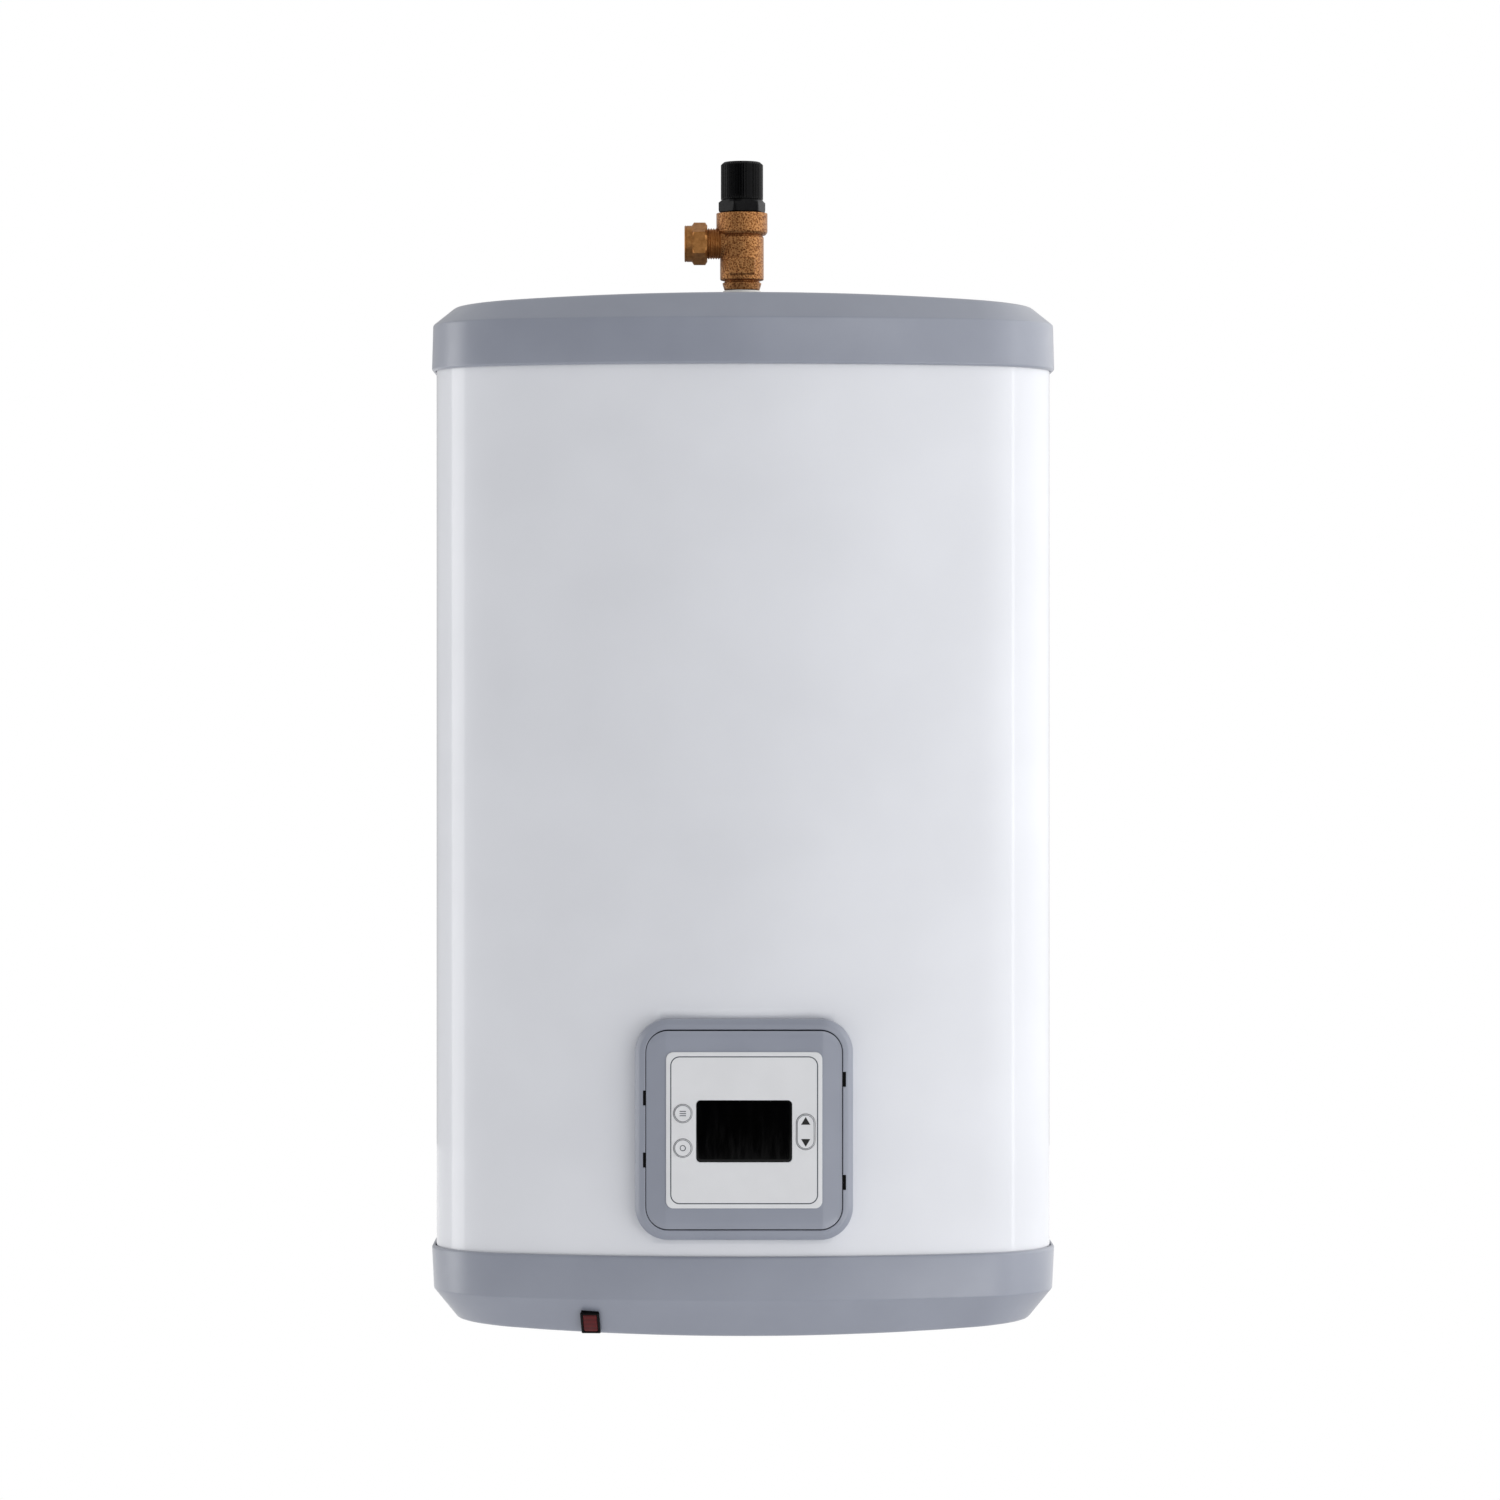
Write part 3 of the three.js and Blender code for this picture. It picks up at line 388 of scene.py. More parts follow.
def blackWindow():
    # polished black acrylic, bloomed against glare, with faint wiping marks
    material, tree, place = newMaterial("polished_black_acrylic")
    stretched = addNode(tree, "ShaderNodeMapping", {"Scale": (1, 1, 0.15), "Rotation": (0, 0.5, 0)},
                        {"Vector": place})
    marks = addNode(tree, "ShaderNodeTexNoise", {"Scale": 1 / (4 * mm), "Detail": 5, "Roughness": 0.7},
                    {"Vector": stretched})
    smear = addNode(tree, "ShaderNodeMapRange", {1: 0.45, 2: 0.75, 3: 0.03, 4: 0.08}, {0: marks})
    cloud = addNode(tree, "ShaderNodeTexNoise", {"Scale": 1 / (20 * mm), "Detail": 2}, {"Vector": place})
    tint = addNode(tree, "ShaderNodeValToRGB", {"stops": [(0.3, "#010101"), (0.8, "#020203")]}, {"Fac": cloud})
    return finishMaterial(material, tree, {"IOR": 1.49, "Specular IOR Level": 0.2},
                          {"Base Color": tint, "Roughness": smear})


def sandCastBrass():
    # sand-cast brass: skin as coarse as the moulding sand, grains over 1 mm; its tone follows the bump,
    # near-black in the pits and pale on the raised grains, painted shade and highlight over the casting's own
    # mottled skin
    material, tree, place = newMaterial("sand_cast_brass")
    grains = addNode(tree, "ShaderNodeTexVoronoi", {"Scale": 1 / (1.3 * mm)}, {"Vector": place})
    pits = addNode(tree, "ShaderNodeTexNoise", {"Scale": 1 / (1.4 * mm), "Detail": 5, "Roughness": 0.7},
                   {"Vector": place})
    skin = addNode(tree, "ShaderNodeMath", {"operation": "MULTIPLY_ADD", 1: 0.55}, {0: grains, 2: pits})
    # painted shade in the pits and painted highlight on the raised grains, over the casting's own mottle
    tint = addNode(tree, "ShaderNodeValToRGB",
                   {"stops": [(0.46, "#2E1406"), (0.64, "#7E4A20"), (0.86, "#B98350")]}, {"Fac": skin})
    rough = addNode(tree, "ShaderNodeMapRange", {1: 0.4, 2: 0.9, 3: 0.55, 4: 0.30}, {0: skin})
    bump = addNode(tree, "ShaderNodeBump", {"Distance": 0.45 * mm, "Strength": 1.0}, {"Height": skin})
    return finishMaterial(material, tree, {"Metallic": 0.85},
                          {"Base Color": tint, "Roughness": rough, "Normal": bump})


def turnedBrass():
    # bar brass off the lathe: bright, with fine marks about 0.5 mm across
    material, tree, place = newMaterial("turned_brass")
    cloud = addNode(tree, "ShaderNodeTexNoise", {"Scale": 1 / (3 * mm), "Detail": 5, "Roughness": 0.6},
                    {"Vector": place})
    tint = addNode(tree, "ShaderNodeValToRGB", {"stops": [(0.3, "#9A6430"), (0.7, "#C48B50")]}, {"Fac": cloud})
    marks = addNode(tree, "ShaderNodeTexNoise", {"Scale": 1 / (0.5 * mm), "Detail": 4, "Roughness": 0.6},
                    {"Vector": place})
    rough = addNode(tree, "ShaderNodeMapRange", {1: 0.3, 2: 0.7, 3: 0.30, 4: 0.45}, {0: marks})
    bump = addNode(tree, "ShaderNodeBump", {"Distance": 0.03 * mm, "Strength": 0.6}, {"Height": marks})
    return finishMaterial(material, tree, {"Metallic": 0.8},
                          {"Base Color": tint, "Roughness": rough, "Normal": bump})


def zincSteel():
    # zinc-plated steel: cool grey, spangled over about 4 mm
    material, tree, place = newMaterial("zinc_plated_steel")
    spangle = addNode(tree, "ShaderNodeTexVoronoi", {"Scale": 1 / (4 * mm)}, {"Vector": place})
    shade = addNode(tree, "ShaderNodeRGBToBW", {}, {"Color": spangle.outputs["Color"]})
    tint = addNode(tree, "ShaderNodeValToRGB", {"stops": [(0.1, "#A9ACB0"), (0.9, "#BCBFC2")]}, {"Fac": shade})
    haze = addNode(tree, "ShaderNodeTexNoise", {"Scale": 1 / (2 * mm), "Detail": 5}, {"Vector": place})
    rough = addNode(tree, "ShaderNodeMapRange", {1: 0.3, 2: 0.7, 3: 0.28, 4: 0.45}, {0: haze})
    bump = addNode(tree, "ShaderNodeBump", {"Distance": 0.01 * mm, "Strength": 0.5}, {"Height": shade})
    return finishMaterial(material, tree, {"Metallic": 1.0},
                          {"Base Color": tint, "Roughness": rough, "Normal": bump})


def drawnCopper():
    # drawn copper tube, slightly tarnished in patches
    material, tree, place = newMaterial("drawn_copper")
    tarnish = addNode(tree, "ShaderNodeTexNoise", {"Scale": 1 / (14 * mm), "Detail": 6, "Roughness": 0.6},
                      {"Vector": place})
    tint = addNode(tree, "ShaderNodeValToRGB", {"stops": [(0.35, "#8A4A30"), (0.6, "#C07A58")]}, {"Fac": tarnish})
    marks = addNode(tree, "ShaderNodeTexNoise", {"Scale": 1 / (0.8 * mm), "Detail": 4}, {"Vector": place})
    rough = addNode(tree, "ShaderNodeMapRange", {1: 0.3, 2: 0.7, 3: 0.25, 4: 0.45}, {0: marks})
    bump = addNode(tree, "ShaderNodeBump", {"Distance": 0.02 * mm, "Strength": 0.5}, {"Height": marks})
    return finishMaterial(material, tree, {"Metallic": 1.0},
                          {"Base Color": tint, "Roughness": rough, "Normal": bump})


def mouldedRubber():
    # black EPDM: matt, slightly grey where it has bloomed
    material, tree, place = newMaterial("moulded_epdm_rubber")
    bloom = addNode(tree, "ShaderNodeTexNoise", {"Scale": 1 / (8 * mm), "Detail": 5}, {"Vector": place})
    tint = addNode(tree, "ShaderNodeValToRGB", {"stops": [(0.3, "#161617"), (0.8, "#29292B")]}, {"Fac": bloom})
    grain = addNode(tree, "ShaderNodeTexNoise", {"Scale": 1 / (0.8 * mm), "Detail": 3}, {"Vector": place})
    bump = addNode(tree, "ShaderNodeBump", {"Distance": 0.05 * mm, "Strength": 0.6}, {"Height": grain})
    return finishMaterial(material, tree, {"IOR": 1.52, "Roughness": 0.78}, {"Base Color": tint, "Normal": bump})


def blownFoam():
    # rigid polyurethane foam: straw-coloured, open cells of about 1.5 mm
    material, tree, place = newMaterial("blown_polyurethane_foam")
    cells = addNode(tree, "ShaderNodeTexVoronoi", {"Scale": 1 / (1.5 * mm)}, {"Vector": place})
    cloud = addNode(tree, "ShaderNodeTexNoise", {"Scale": 1 / (40 * mm), "Detail": 5}, {"Vector": place})
    tint = addNode(tree, "ShaderNodeValToRGB", {"stops": [(0.3, "#C9B06E"), (0.7, "#E0CE96")]}, {"Fac": cloud})
    bump = addNode(tree, "ShaderNodeBump", {"Distance": 0.6 * mm, "Strength": 0.8}, {"Height": cells})
    return finishMaterial(material, tree, {"IOR": 1.5, "Roughness": 0.9}, {"Base Color": tint, "Normal": bump})


def glassEnamel():
    # vitreous enamel fired on steel: deep blue, speckled, glassy with slight waves
    material, tree, place = newMaterial("vitreous_blue_enamel")
    specks = addNode(tree, "ShaderNodeTexNoise", {"Scale": 1 / (1.2 * mm), "Detail": 5, "Roughness": 0.8},
                     {"Vector": place})
    tint = addNode(tree, "ShaderNodeValToRGB",
                   {"stops": [(0.45, "#24365C"), (0.68, "#33497A"), (0.74, "#8A97B4")]}, {"Fac": specks})
    waves = addNode(tree, "ShaderNodeTexNoise", {"Scale": 1 / (12 * mm), "Detail": 2}, {"Vector": place})
    bump = addNode(tree, "ShaderNodeBump", {"Distance": 0.3 * mm, "Strength": 0.4}, {"Height": waves})
    return finishMaterial(material, tree, {"IOR": 1.52, "Roughness": 0.14}, {"Base Color": tint, "Normal": bump})


def extrudedMagnesium():
    # magnesium rod: dull silver with long extrusion lines
    material, tree, place = newMaterial("extruded_magnesium")
    stretched = addNode(tree, "ShaderNodeMapping", {"Scale": (1, 0.05, 1)}, {"Vector": place})
    lines = addNode(tree, "ShaderNodeTexNoise", {"Scale": 1 / (0.8 * mm), "Detail": 4}, {"Vector": stretched})
    tint = addNode(tree, "ShaderNodeValToRGB", {"stops": [(0.3, "#9A9C9B"), (0.7, "#B9BBBA")]}, {"Fac": lines})
    rough = addNode(tree, "ShaderNodeMapRange", {1: 0.3, 2: 0.7, 3: 0.48, 4: 0.65}, {0: lines})
    bump = addNode(tree, "ShaderNodeBump", {"Distance": 0.03 * mm, "Strength": 0.5}, {"Height": lines})
    return finishMaterial(material, tree, {"Metallic": 1.0},
                          {"Base Color": tint, "Roughness": rough, "Normal": bump})


def circuitBoard():
    # green solder mask, raised a little over thin crossing tracks
    material, tree, place = newMaterial("solder_mask_board")
    upright = addNode(tree, "ShaderNodeMapping", {"Rotation": (math.pi / 2, 0, 0)}, {"Vector": place})
    tracks = addNode(tree, "ShaderNodeTexBrick",
                     {"Scale": 1 / (7 * mm), "Mortar Size": 0.06, "Color1": (0, 0, 0, 1), "Color2": (0, 0, 0, 1),
                      "Mortar": (1, 1, 1, 1)}, {"Vector": upright})
    line = addNode(tree, "ShaderNodeRGBToBW", {}, {"Color": tracks})
    tint = addNode(tree, "ShaderNodeValToRGB", {"stops": [(0.2, "#14502F"), (0.8, "#2C7A4B")]}, {"Fac": line})
    bump = addNode(tree, "ShaderNodeBump", {"Distance": 0.04 * mm, "Strength": 0.7}, {"Height": line})
    return finishMaterial(material, tree, {"IOR": 1.5, "Roughness": 0.32}, {"Base Color": tint, "Normal": bump})


def redLens():
    # moulded red polycarbonate over an unlit neon: dark, ribbed inside about every 3 mm
    material, tree, place = newMaterial("red_polycarbonate_lens")
    ribs = addNode(tree, "ShaderNodeTexWave", {"Scale": math.pi / 10 / (3.16 * mm), "Distortion": 0.3,
                                               "bands_direction": "Z"}, {"Vector": place}).outputs["Fac"]
    tint = addNode(tree, "ShaderNodeValToRGB", {"stops": [(0.2, "#4C0A0D"), (0.8, "#5A0E11")]}, {"Fac": ribs})
    bump = addNode(tree, "ShaderNodeBump", {"Distance": 0.04 * mm, "Strength": 0.3}, {"Height": ribs})
    return finishMaterial(material, tree, {"IOR": 1.58, "Roughness": 0.3, "Specular IOR Level": 0.2},
                          {"Base Color": tint, "Normal": bump})


materials = {
    "enamel": stovedEnamel(), "abs": mouldedAbs(), "nylonBlack": blackNylon(), "nylonWhite": whiteNylon(),
    "film": printedFilm(), "inkGrey": screenInk("grey_screen_ink", "#343A45", "#444B58"),
    "inkBlack": screenInk("black_screen_ink", "#020203", "#08080A"), "window": blackWindow(),
    "castBrass": sandCastBrass(), "brass": turnedBrass(), "steel": zincSteel(), "copper": drawnCopper(),
    "rubber": mouldedRubber(), "foam": blownFoam(), "tank": glassEnamel(), "magnesium": extrudedMagnesium(),
    "board": circuitBoard(), "lens": redLens(),
}
slotMaterials = {
    "case_enamel": "enamel", "grey_abs": "abs", "pu_foam": "foam", "tank_enamel": "tank", "zinc_steel": "steel",
    "rubber": "rubber", "copper": "copper", "machined_brass": "brass", "cast_brass": "castBrass",
    "magnesium": "magnesium", "white_plastic": "nylonWhite", "key_plastic": "film", "label_film": "film",
    "black_window": "window", "black_plastic": "nylonBlack", "circuit_board": "board", "red_lens": "lens",
}
for entry in frame["record"]["subparts"]:
    node = frame["nodes"][entry["node"]]
    node.data.materials.clear()
    node.data.materials.append(materials[slotMaterials[entry["material_slot"]]])
print("materials ready:", len(materials))


# the wrap and its two caps

planPoints, planNormals = casePlan()
panelLow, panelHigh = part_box("control_bezel")
panelZ = (panelLow.z + panelHigh.z) / 2
wrapForm = {"thickness": 1.0 * mm, "cutHalfWidth": 62 * mm, "cutHalfHeight": 63 * mm}


def outlineAt(offset):
    return planPoints + planNormals * offset


def makeWrap():
    # the plan loop carried straight up, with the cut-out for the control panel left out
    form = wrapForm
    heights = np.concatenate([
        np.linspace(shellLow.z, panelZ - form["cutHalfHeight"], 4),
        np.linspace(panelZ - form["cutHalfHeight"], panelZ + form["cutHalfHeight"], 7)[1:],
        np.linspace(panelZ + form["cutHalfHeight"], shellHigh.z, 24)[1:]])
    loop = outlineAt(0)
    grid = np.stack([np.column_stack([loop, np.full(len(loop), z)]) for z in heights])

    def outsideCut(middle):
        inWidth = (np.abs(middle[:, 0]) < form["cutHalfWidth"]) & (middle[:, 1] < caseForm["frontY"] + 0.03)
        return ~(inWidth & (np.abs(middle[:, 2] - panelZ) < form["cutHalfHeight"]))

    wrap = addObject("case_wrap", meshFromGrid("case_wrap", grid, keep=outsideCut))
    sheet = wrap.modifiers.new("sheet", "SOLIDIFY")
    sheet.thickness, sheet.offset = form["thickness"], -1
    return finishPiece(wrap, materials["enamel"], replaces=["body_shell"])


capForm = {"overhang": topHigh.x - shellHigh.x, "wall": 2.4 * mm, "edgeRound": 2 * mm, "shoulder": 2.5 * mm,
           "archHalfChord": 200 * mm, "archRise": 5.9 * mm, "crownBlend": 1.5 * mm,
           "chamferReach": 42 * mm, "chamferRows": 40, "innerRows": 22}
topForm = {"edgeZ": topLow.z, "crown": topHigh.z - topLow.z, "band": 32.5 * mm, "slope": 0.8,
           "draft": 0.9 * mm, "valveHole": 14.4 * mm}
bottomForm = {"edgeZ": bottomHigh.z, "crown": bottomHigh.z - bottomLow.z, "band": 30.5 * mm, "slope": 1.22,
              "draft": 1.5 * mm, "middle": 2 * mm,
              "holes": {"cold_nut": 19 * mm, "hot_nut": 19 * mm, "cable_gland": 10.1 * mm,
                        "cap_screw_left": 2.4 * mm, "cap_screw_right": 2.4 * mm}}


def archHeight(x, crown):
    # shallow arch across the case: highest in the middle, falling as the square of the distance
    return crown - capForm["archRise"] * (x / capForm["archHalfChord"]) ** 2


def softMinimum(a, b, reach):
    # the smaller of two heights, rounded where they cross
    share = np.clip(0.5 + 0.5 * (b - a) / reach, 0, 1)
    return b * (1 - share) + a * share - reach * share * (1 - share)


def capGrid(form, centre):
    # rows from the free edge up the band and chamfer, then inwards over the arch to a round hole;
    # centre holds the hole's X, Y and radius
    run = capForm["chamferReach"]
    corners = [(capForm["wall"], 0), (0, 0), (form["draft"], form["band"]),
               (form["draft"] + run, form["band"] + run * form["slope"])]
    profile = filletLine(corners, [capForm["edgeRound"], capForm["shoulder"]], 7)
    tail = np.linspace(0, 1, capForm["chamferRows"])[1:, None]
    profile = np.concatenate([profile[:-1], profile[-2] * (1 - tail) + profile[-1] * tail])
    rows = []
    for inset, height in profile:
        loop = outlineAt(capForm["overhang"] - inset)
        z = softMinimum(height, archHeight(loop[:, 0], form["crown"]), capForm["crownBlend"])
        if height < form["band"]:
            z = np.full(len(loop), height)
        rows.append(np.column_stack([loop, z]))
    rim = rows[-1][:, :2]
    away = rim - centre[:2]
    ring = centre[:2] + away / np.linalg.norm(away, axis=1)[:, None] * centre[2]
    for part in np.linspace(0, 1, capForm["innerRows"])[1:]:
        flat = rim * (1 - part) + ring * part
        rows.append(np.column_stack([flat, archHeight(flat[:, 0], form["crown"])]))
    return np.stack(rows)


knobLow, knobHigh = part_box("test_knob")
valveX, valveY = 0.0, (knobLow.y + knobHigh.y) / 2


def solidSheet(piece, thickness):
    sheet = piece.modifiers.new("wall", "SOLIDIFY")
    sheet.thickness, sheet.offset = thickness, -1
    return piece


def makeTopCap():
    grid = capGrid(topForm, (valveX, valveY, topForm["valveHole"]))
    grid[..., 2] += topForm["edgeZ"]
    cap = addObject("top_cap_moulding", meshFromGrid("top_cap_moulding", grid))
    solidSheet(cap, capForm["wall"])
    return finishPiece(cap, materials["abs"], replaces=["top_cap"])


neonForm = {"aside": 106.8 * mm, "down": 16.7 * mm, "turn": 0.08, "width": 13.4 * mm, "height": 19.6 * mm,
            "corner": 0.9 * mm, "lensWidth": 9.8 * mm, "lensHeight": 16 * mm, "lensCorner": 1.2 * mm}


def neonMatrix():
    # the chamfer's plane where the neon sits: turned a little outwards, leaning with the chamfer
    form, cap = neonForm, bottomForm
    radius = caseForm["bowRadius"] + capForm["overhang"] - form["down"] / cap["slope"]
    y = caseForm["frontY"] + caseForm["bowRadius"] - math.sqrt(radius ** 2 - form["aside"] ** 2)
    z = cap["edgeZ"] - cap["band"] - form["down"]
    lean = math.pi / 2 - math.atan(cap["slope"])
    return (Matrix.Translation((-form["aside"], y, z)) @ Matrix.Rotation(-form["turn"], 4, "Z")
            @ Matrix.Rotation(lean, 4, "X"))


def bakeMatrix(piece, matrix):
    piece.data.transform(matrix)
    piece.data.update()
    return piece


def boxGrid(x, y, z):
    # one box as two square rings, its ends closed by caps
    square = np.array([(-x, -y), (x, -y), (x, y), (-x, y)]) / 2
    return np.stack([np.column_stack([square, np.full(4, side * z / 2)]) for side in (-1, 1)])


def boxPiece(name, size, at=(0, 0, 0)):
    return closedPiece(name, boxGrid(*size) + np.array(at))


def rodPiece(name, radius, low, high, at=(0, 0, 0), axis="z", count=48):
    return closedPiece(name, lathe([(radius, low), (radius, high)], count, axis, at))


def makeBottomCap():
    form = bottomForm
    grid = capGrid(form, (0, valveY, form["middle"]))
    grid[..., 2] = form["edgeZ"] - grid[..., 2]
    grid = grid[:, ::-1]
    cap = addObject("bottom_cap_moulding", meshFromGrid("bottom_cap_moulding", grid, endCap=True))
    solidSheet(cap, capForm["wall"])
    settle(cap)
    cutters = []
    for name, radius in form["holes"].items():
        low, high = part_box(name)
        at = ((low.x + high.x) / 2, (low.y + high.y) / 2, bottomLow.z)
        cutters.append(rodPiece("hole", radius, -20 * mm, 20 * mm, at))
    window = boxPiece("window", (neonForm["width"] - 0.8 * mm, 24 * mm, neonForm["height"] - 1.2 * mm))
    cutters.append(bakeMatrix(window, neonMatrix()))
    cutBy(cap, cutters)
    return finishPiece(cap, materials["abs"], replaces=["bottom_cap"])


def makeNeon():
    # black snap-in frame round a red lens with a soft edge
    form = neonForm
    rows = scaled([(1.7, -8), (0.7, -8), (0.7, 0.9), (0, 0.9), (0, 1.8), (0.2, 2.1), (0.45, 2.25), (1.3, 2.25),
                   (1.6, 2.0), (1.7, 1.6)])
    grid = slabGrid(form["width"], form["height"], form["corner"], rows, 5)
    bezel = closedPiece("neon_frame", grid, False, False, True)
    bakeMatrix(bezel, neonMatrix())
    finishPiece(bezel, materials["nylonBlack"], replaces=["neon_bezel"])
    rows = scaled([(2.5, -6.5), (0, -6.5), (0, 1.6), (0.3, 2.0), (0.8, 2.15)])
    grid = slabGrid(form["lensWidth"], form["lensHeight"], form["lensCorner"], rows, 5)
    lens = closedPiece("neon_lens_cover", grid)
    bakeMatrix(lens, neonMatrix())
    finishPiece(lens, materials["lens"], replaces=["neon_lens"])


makeWrap()
makeTopCap()
makeBottomCap()
makeNeon()
print("case made")


# control panel; depths run forward from the middle of the bowed front

panelAt = np.array([0, caseForm["frontY"], panelZ])
bezelForm = {"width": 151 * mm, "height": 153 * mm, "corner": 23 * mm,
             # the black blocks sized here sit in the slots as painted shade
             "slotSize": (2.4 * mm, 12 * mm, 10.5 * mm), "slotShadeSize": (2.2 * mm, 2 * mm, 10.2 * mm),
             "slots": scaled([(-68.8, 22.1), (-68.8, -20.8), (69.3, 35), (69.3, -36.3)])}
coverForm = {"width": 135.6 * mm, "height": 137 * mm, "corner": 15 * mm, "front": 11.5 * mm, "edge": 9 * mm,
             "fold": 54.5 * mm, "wall": 2.4 * mm, "foldRound": 1.5 * mm, "keyGap": 0.4 * mm}
# painted shade: a dark strip under the seam between bezel and cover
seamShadeForm = {"inset": 7.1 * mm, "corner": 15.8 * mm, "width": 2.2 * mm, "back": 5 * mm, "front": 6.2 * mm}
labelForm = {"size": 108 * mm, "corner": 5 * mm, "back": 11.6 * mm, "front": 12.4 * mm,
             "inkInset": 2.9 * mm, "inkWidth": 0.75 * mm, "inkCorner": 6.5 * mm}
windowForm = {"width": 66 * mm, "height": 42.5 * mm, "corner": 3 * mm, "z": -0.7 * mm, "front": 12.6 * mm}
keyForm = {"radius": 6.25 * mm, "x": -42.4 * mm, "upper": 11.6 * mm, "lower": -12.3 * mm, "front": 13.2 * mm,
           "rim": 0.45 * mm, "outlineInset": 0.4 * mm, "outlineWidth": 0.42 * mm}
rockerForm = {"x": 42.5 * mm, "z": -1.05 * mm, "width": 12.7 * mm, "height": 24.3 * mm, "arrowZ": 7.6 * mm,
              "stemZ": 8 * mm}


def makeBezel():
    # rounded outline carried over a soft shoulder; its foot follows the bow of the case
    form = bezelForm
    corners = scaled([(0, 0), (0, 5.2), (3.4, 8.9), (7.2, 9.9), (7.2, 0)])
    profile = filletLine(corners, [2.2 * mm, 3.5 * mm, 0.5 * mm], 6)
    grid = slabGrid(form["width"], form["height"], form["corner"], profile, 14, 24)
    bow = caseForm["bowRadius"]
    behind = bow - np.sqrt(bow ** 2 - grid[..., 0] ** 2) - 0.1 * mm
    foot = profile[:, 1][:, None] <= 0
    grid[..., 1] = np.where(foot, behind, grid[..., 1])
    bezel = closedPiece("panel_bezel", grid + panelAt, False, False, True)
    cutters = [boxPiece("slot", form["slotSize"], panelAt + np.array([x, -10 * mm, z]))
               for x, z in form["slots"]]
    cutBy(bezel, cutters)
    return finishPiece(bezel, materials["abs"], replaces=["control_bezel"])


def controlCutters(margin, windowMargin):
    # tools for the window, the two round keys and the rocker
    form = windowForm
    tools = [slab("tool", form["width"] + windowMargin, form["height"] + windowMargin, form["corner"],
                  0, 30 * mm, 0.01 * mm, at=panelAt + np.array([0, 0, form["z"]]))]
    for z in (keyForm["upper"], keyForm["lower"]):
        tools.append(rodPiece("tool", keyForm["radius"] + margin, 0, 30 * mm,
                              panelAt + np.array([keyForm["x"], 0, z]), "-y"))
    width = rockerForm["width"] + 2 * margin
    tools.append(slab("tool", width, rockerForm["height"] + 2.4 * margin, width / 2 - 0.01 * mm, 0, 30 * mm,
                      0.01 * mm, at=panelAt + np.array([rockerForm["x"], 0, rockerForm["z"]]), steps=14))
    return tools


def makeCover():
    # plate folded back along both sides: depth falls past the fold, height follows the rounded corners
    form = coverForm
    half, corner = form["width"] / 2, form["corner"]
    inner = np.linspace(-form["fold"] + 2 * form["foldRound"], form["fold"] - 2 * form["foldRound"], 40)
    near = form["fold"] + np.linspace(-2, 2, 13)[1:-1] * form["foldRound"]
    rim = half - corner * (1 - np.sin(np.linspace(0, math.pi / 2, 14)))
    right = np.unique(np.concatenate([near, rim[rim > near[-1] + 0.2 * mm]]))
    x = np.concatenate([-right[::-1], inner, right])
    past = np.maximum(np.abs(x) - (half - corner), 0)
    reach = form["height"] / 2 - corner + np.sqrt(np.maximum(corner ** 2 - past ** 2, 0))
    beyond = np.abs(x) - form["fold"]
    softened = 0.5 * (beyond + np.sqrt(beyond ** 2 + (0.5 * form["foldRound"]) ** 2))
    drop = (form["front"] - form["edge"]) / (half - form["fold"])
    depth = form["front"] - softened * drop
    up = np.linspace(-1, 1, 25)
    grid = np.stack([np.repeat(x[:, None], 25, 1), -np.repeat(depth[:, None], 25, 1), reach[:, None] * up], -1)
    mesh = meshFromGrid("panel_cover", (grid + panelAt)[::-1], wrapColumns=False)
    cover = solidSheet(addObject("panel_cover", mesh), form["wall"])
    addBevel(cover, 0.45 * mm, 2, 50)
    settle(cover)
    cutBy(cover, controlCutters(form["keyGap"], -4 * mm))
    return finishPiece(cover, materials["abs"], replaces=["control_cover"], degrees=24)


def inkLoop(name, width, height, corner, line, depth, at, steps=10):
    # a flat printed line following a rounded outline, one ink film thick
    film = 0.02 * mm
    rows = [(0, depth - film), (0, depth), (line, depth), (line, depth - film)]
    return closedPiece(name, slabGrid(width, height, corner, rows, steps) + at, False, False, True)


def makeSeamAndSlotShade():
    # painted shade: a black rubber strip under the joint between bezel and cover makes the seam read dark, and
    # black nylon blocks in the four slots make the slots read black
    form = seamShadeForm
    width, height = bezelForm["width"] - 2 * form["inset"], bezelForm["height"] - 2 * form["inset"]
    rows = [(0, form["back"]), (0, form["front"]), (form["width"], form["front"]), (form["width"], form["back"])]
    grid = slabGrid(width, height, form["corner"], rows, 12) + panelAt
    seamShade = closedPiece("seam_shade_strip", grid, False, False, True)
    finishPiece(seamShade, materials["rubber"])
    for k, (x, z) in enumerate(bezelForm["slots"]):
        # painted shade: a black block at the bottom of the slot, so that the slot reads black
        at = panelAt + np.array([x, -7.4 * mm, z])
        slotShade = boxPiece(f"slot_shade_block_{k + 1}", bezelForm["slotShadeSize"], at)
        finishPiece(slotShade, materials["nylonBlack"])


def makeLabel():
    form = labelForm
    label = slab("label_film", form["size"], form["size"], form["corner"], form["back"], form["front"],
                 0.25 * mm, at=panelAt)
    cutBy(label, controlCutters(coverForm["keyGap"], 0.5 * mm))
    finishPiece(label, materials["film"], replaces=["label_plate"])
    across = form["size"] - 2 * form["inkInset"]
    depth = form["front"] + 0.03 * mm
    ink = inkLoop("label_border", across, across, form["inkCorner"], form["inkWidth"], depth, panelAt)
    finishPiece(ink, materials["inkGrey"])


def makeWindow():
    form = windowForm
    pane = slab("display_pane", form["width"], form["height"], form["corner"], labelForm["back"], form["front"],
                0.35 * mm, at=panelAt + np.array([0, 0, form["z"]]))
    return finishPiece(pane, materials["window"], replaces=["display_window"])


